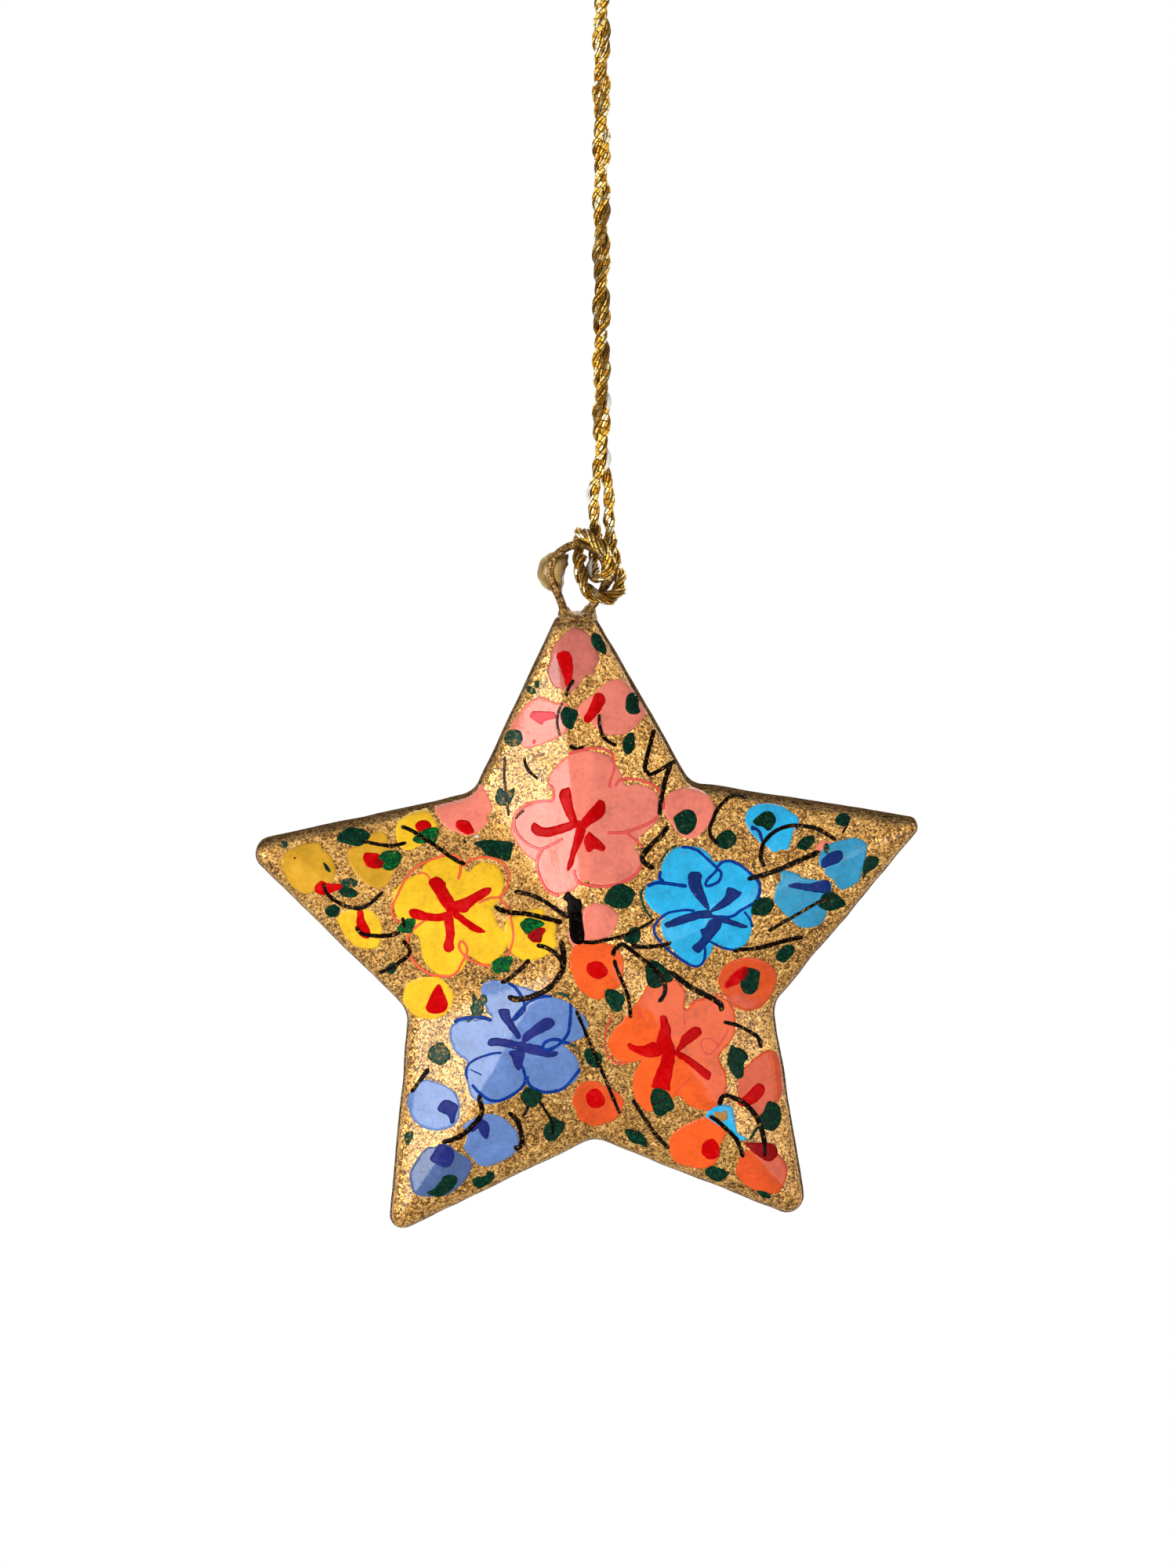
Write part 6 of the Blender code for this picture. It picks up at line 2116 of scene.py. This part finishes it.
# White cotton of the core shows where the gilt threads have slid apart
cottonCore = {
    "bundle": {"Plies": 1, "Threads": 8, "Ply reach": 0.0, "Ply pitch": 1.0, "Thread reach": 0.15 * mm,
               "Thread pitch": 0.03, "Thread size": 0.072 * mm, "Core size": 0.11 * mm, "Sides": 6},
    "radius": 0.222,
    "step": 0.12,
    "clear": 0.03,
    "thinEnd": 0.12,
    "fullness": 1.2,
    "tones": ((0.28, (0.66, 0.58, 0.47)), (0.46, (0.92, 0.87, 0.79)), (0.70, (0.97, 0.96, 0.93))),
    "hanging": (
        ((0.50, -0.05, 17.9), (0.78, -0.20, 17.3), (0.86, -0.25, 16.5), (0.60, -0.15, 15.6)),
        ((0.62, -0.10, 11.2), (0.88, -0.40, 10.5), (0.74, -0.55, 9.6), (0.40, -0.40, 8.9)),
        ((-1.20, -0.15, 7.2), (-1.52, -0.25, 6.5), (-1.46, -0.35, 5.7), (-1.05, -0.30, 5.0)),
    ),
    "hitch": (((-1.05, 0.25, -1.2), (-1.25, -0.15, -1.75), (-1.30, -0.55, -2.35), (-1.12, -1.0, -2.95),
               (-0.65, -1.4, -3.35)),),
}


def cottonFinish():
    finish, tree, shader, where = newFinish("cottonFibre", roughness=0.85, specular=0.1)
    shader.inputs["Sheen Weight"].default_value = 0.3
    strands = noiseNode(tree, vectorNode(tree, "MULTIPLY", where, (1.0, 1.0, 0.2)), 0.12, 3.0, 0.6)
    tree.links.new(rampNode(tree, strands, cottonCore["tones"]), shader.inputs["Base Color"])
    tree.links.new(bumpNode(tree, strands, 0.05), shader.inputs["Normal"])
    return finish


finishes["cotton"] = cottonFinish()


def cottonBunch(name, routes):
    lines = []
    for route in routes:
        points = smoothRoute([(x, y, z - star["eyeDrop"]) for x, y, z in route], cottonCore["step"])
        room = np.maximum(0.04, (clearOfWire(points) - cottonCore["clear"]) / cottonCore["radius"])
        swell = [cottonCore["thinEnd"] + cottonCore["fullness"] * math.sin(math.pi * share) ** 0.7
                 for share in np.arange(len(points)) / (len(points) - 1)]
        lines.append((points, np.minimum(swell, room)))
    return settle(threadCurve(name, lines), winding, {**cottonCore["bundle"], "Finish": finishes["cotton"]})


hitchLine, hangingLine = cordLines()
hitch = windCord("cordHitch", hitchLine, swelling(hitchLine, cord["looseHitch"]))
hanging = windCord("hangingCord", hangingLine, swelling(hangingLine, cord["loose"]))
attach(hitch, "hitch")
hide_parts("cord_hitch")
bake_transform(hanging)
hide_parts("hanging_cord")
hangingCotton = cottonBunch("hangingCotton", cottonCore["hanging"])
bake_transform(hangingCotton)
hitchCotton = cottonBunch("hitchCotton", cottonCore["hitch"])
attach(hitchCotton, "hitch")
print("cord: %d and %d faces" % (len(hitch.data.polygons), len(hanging.data.polygons)))
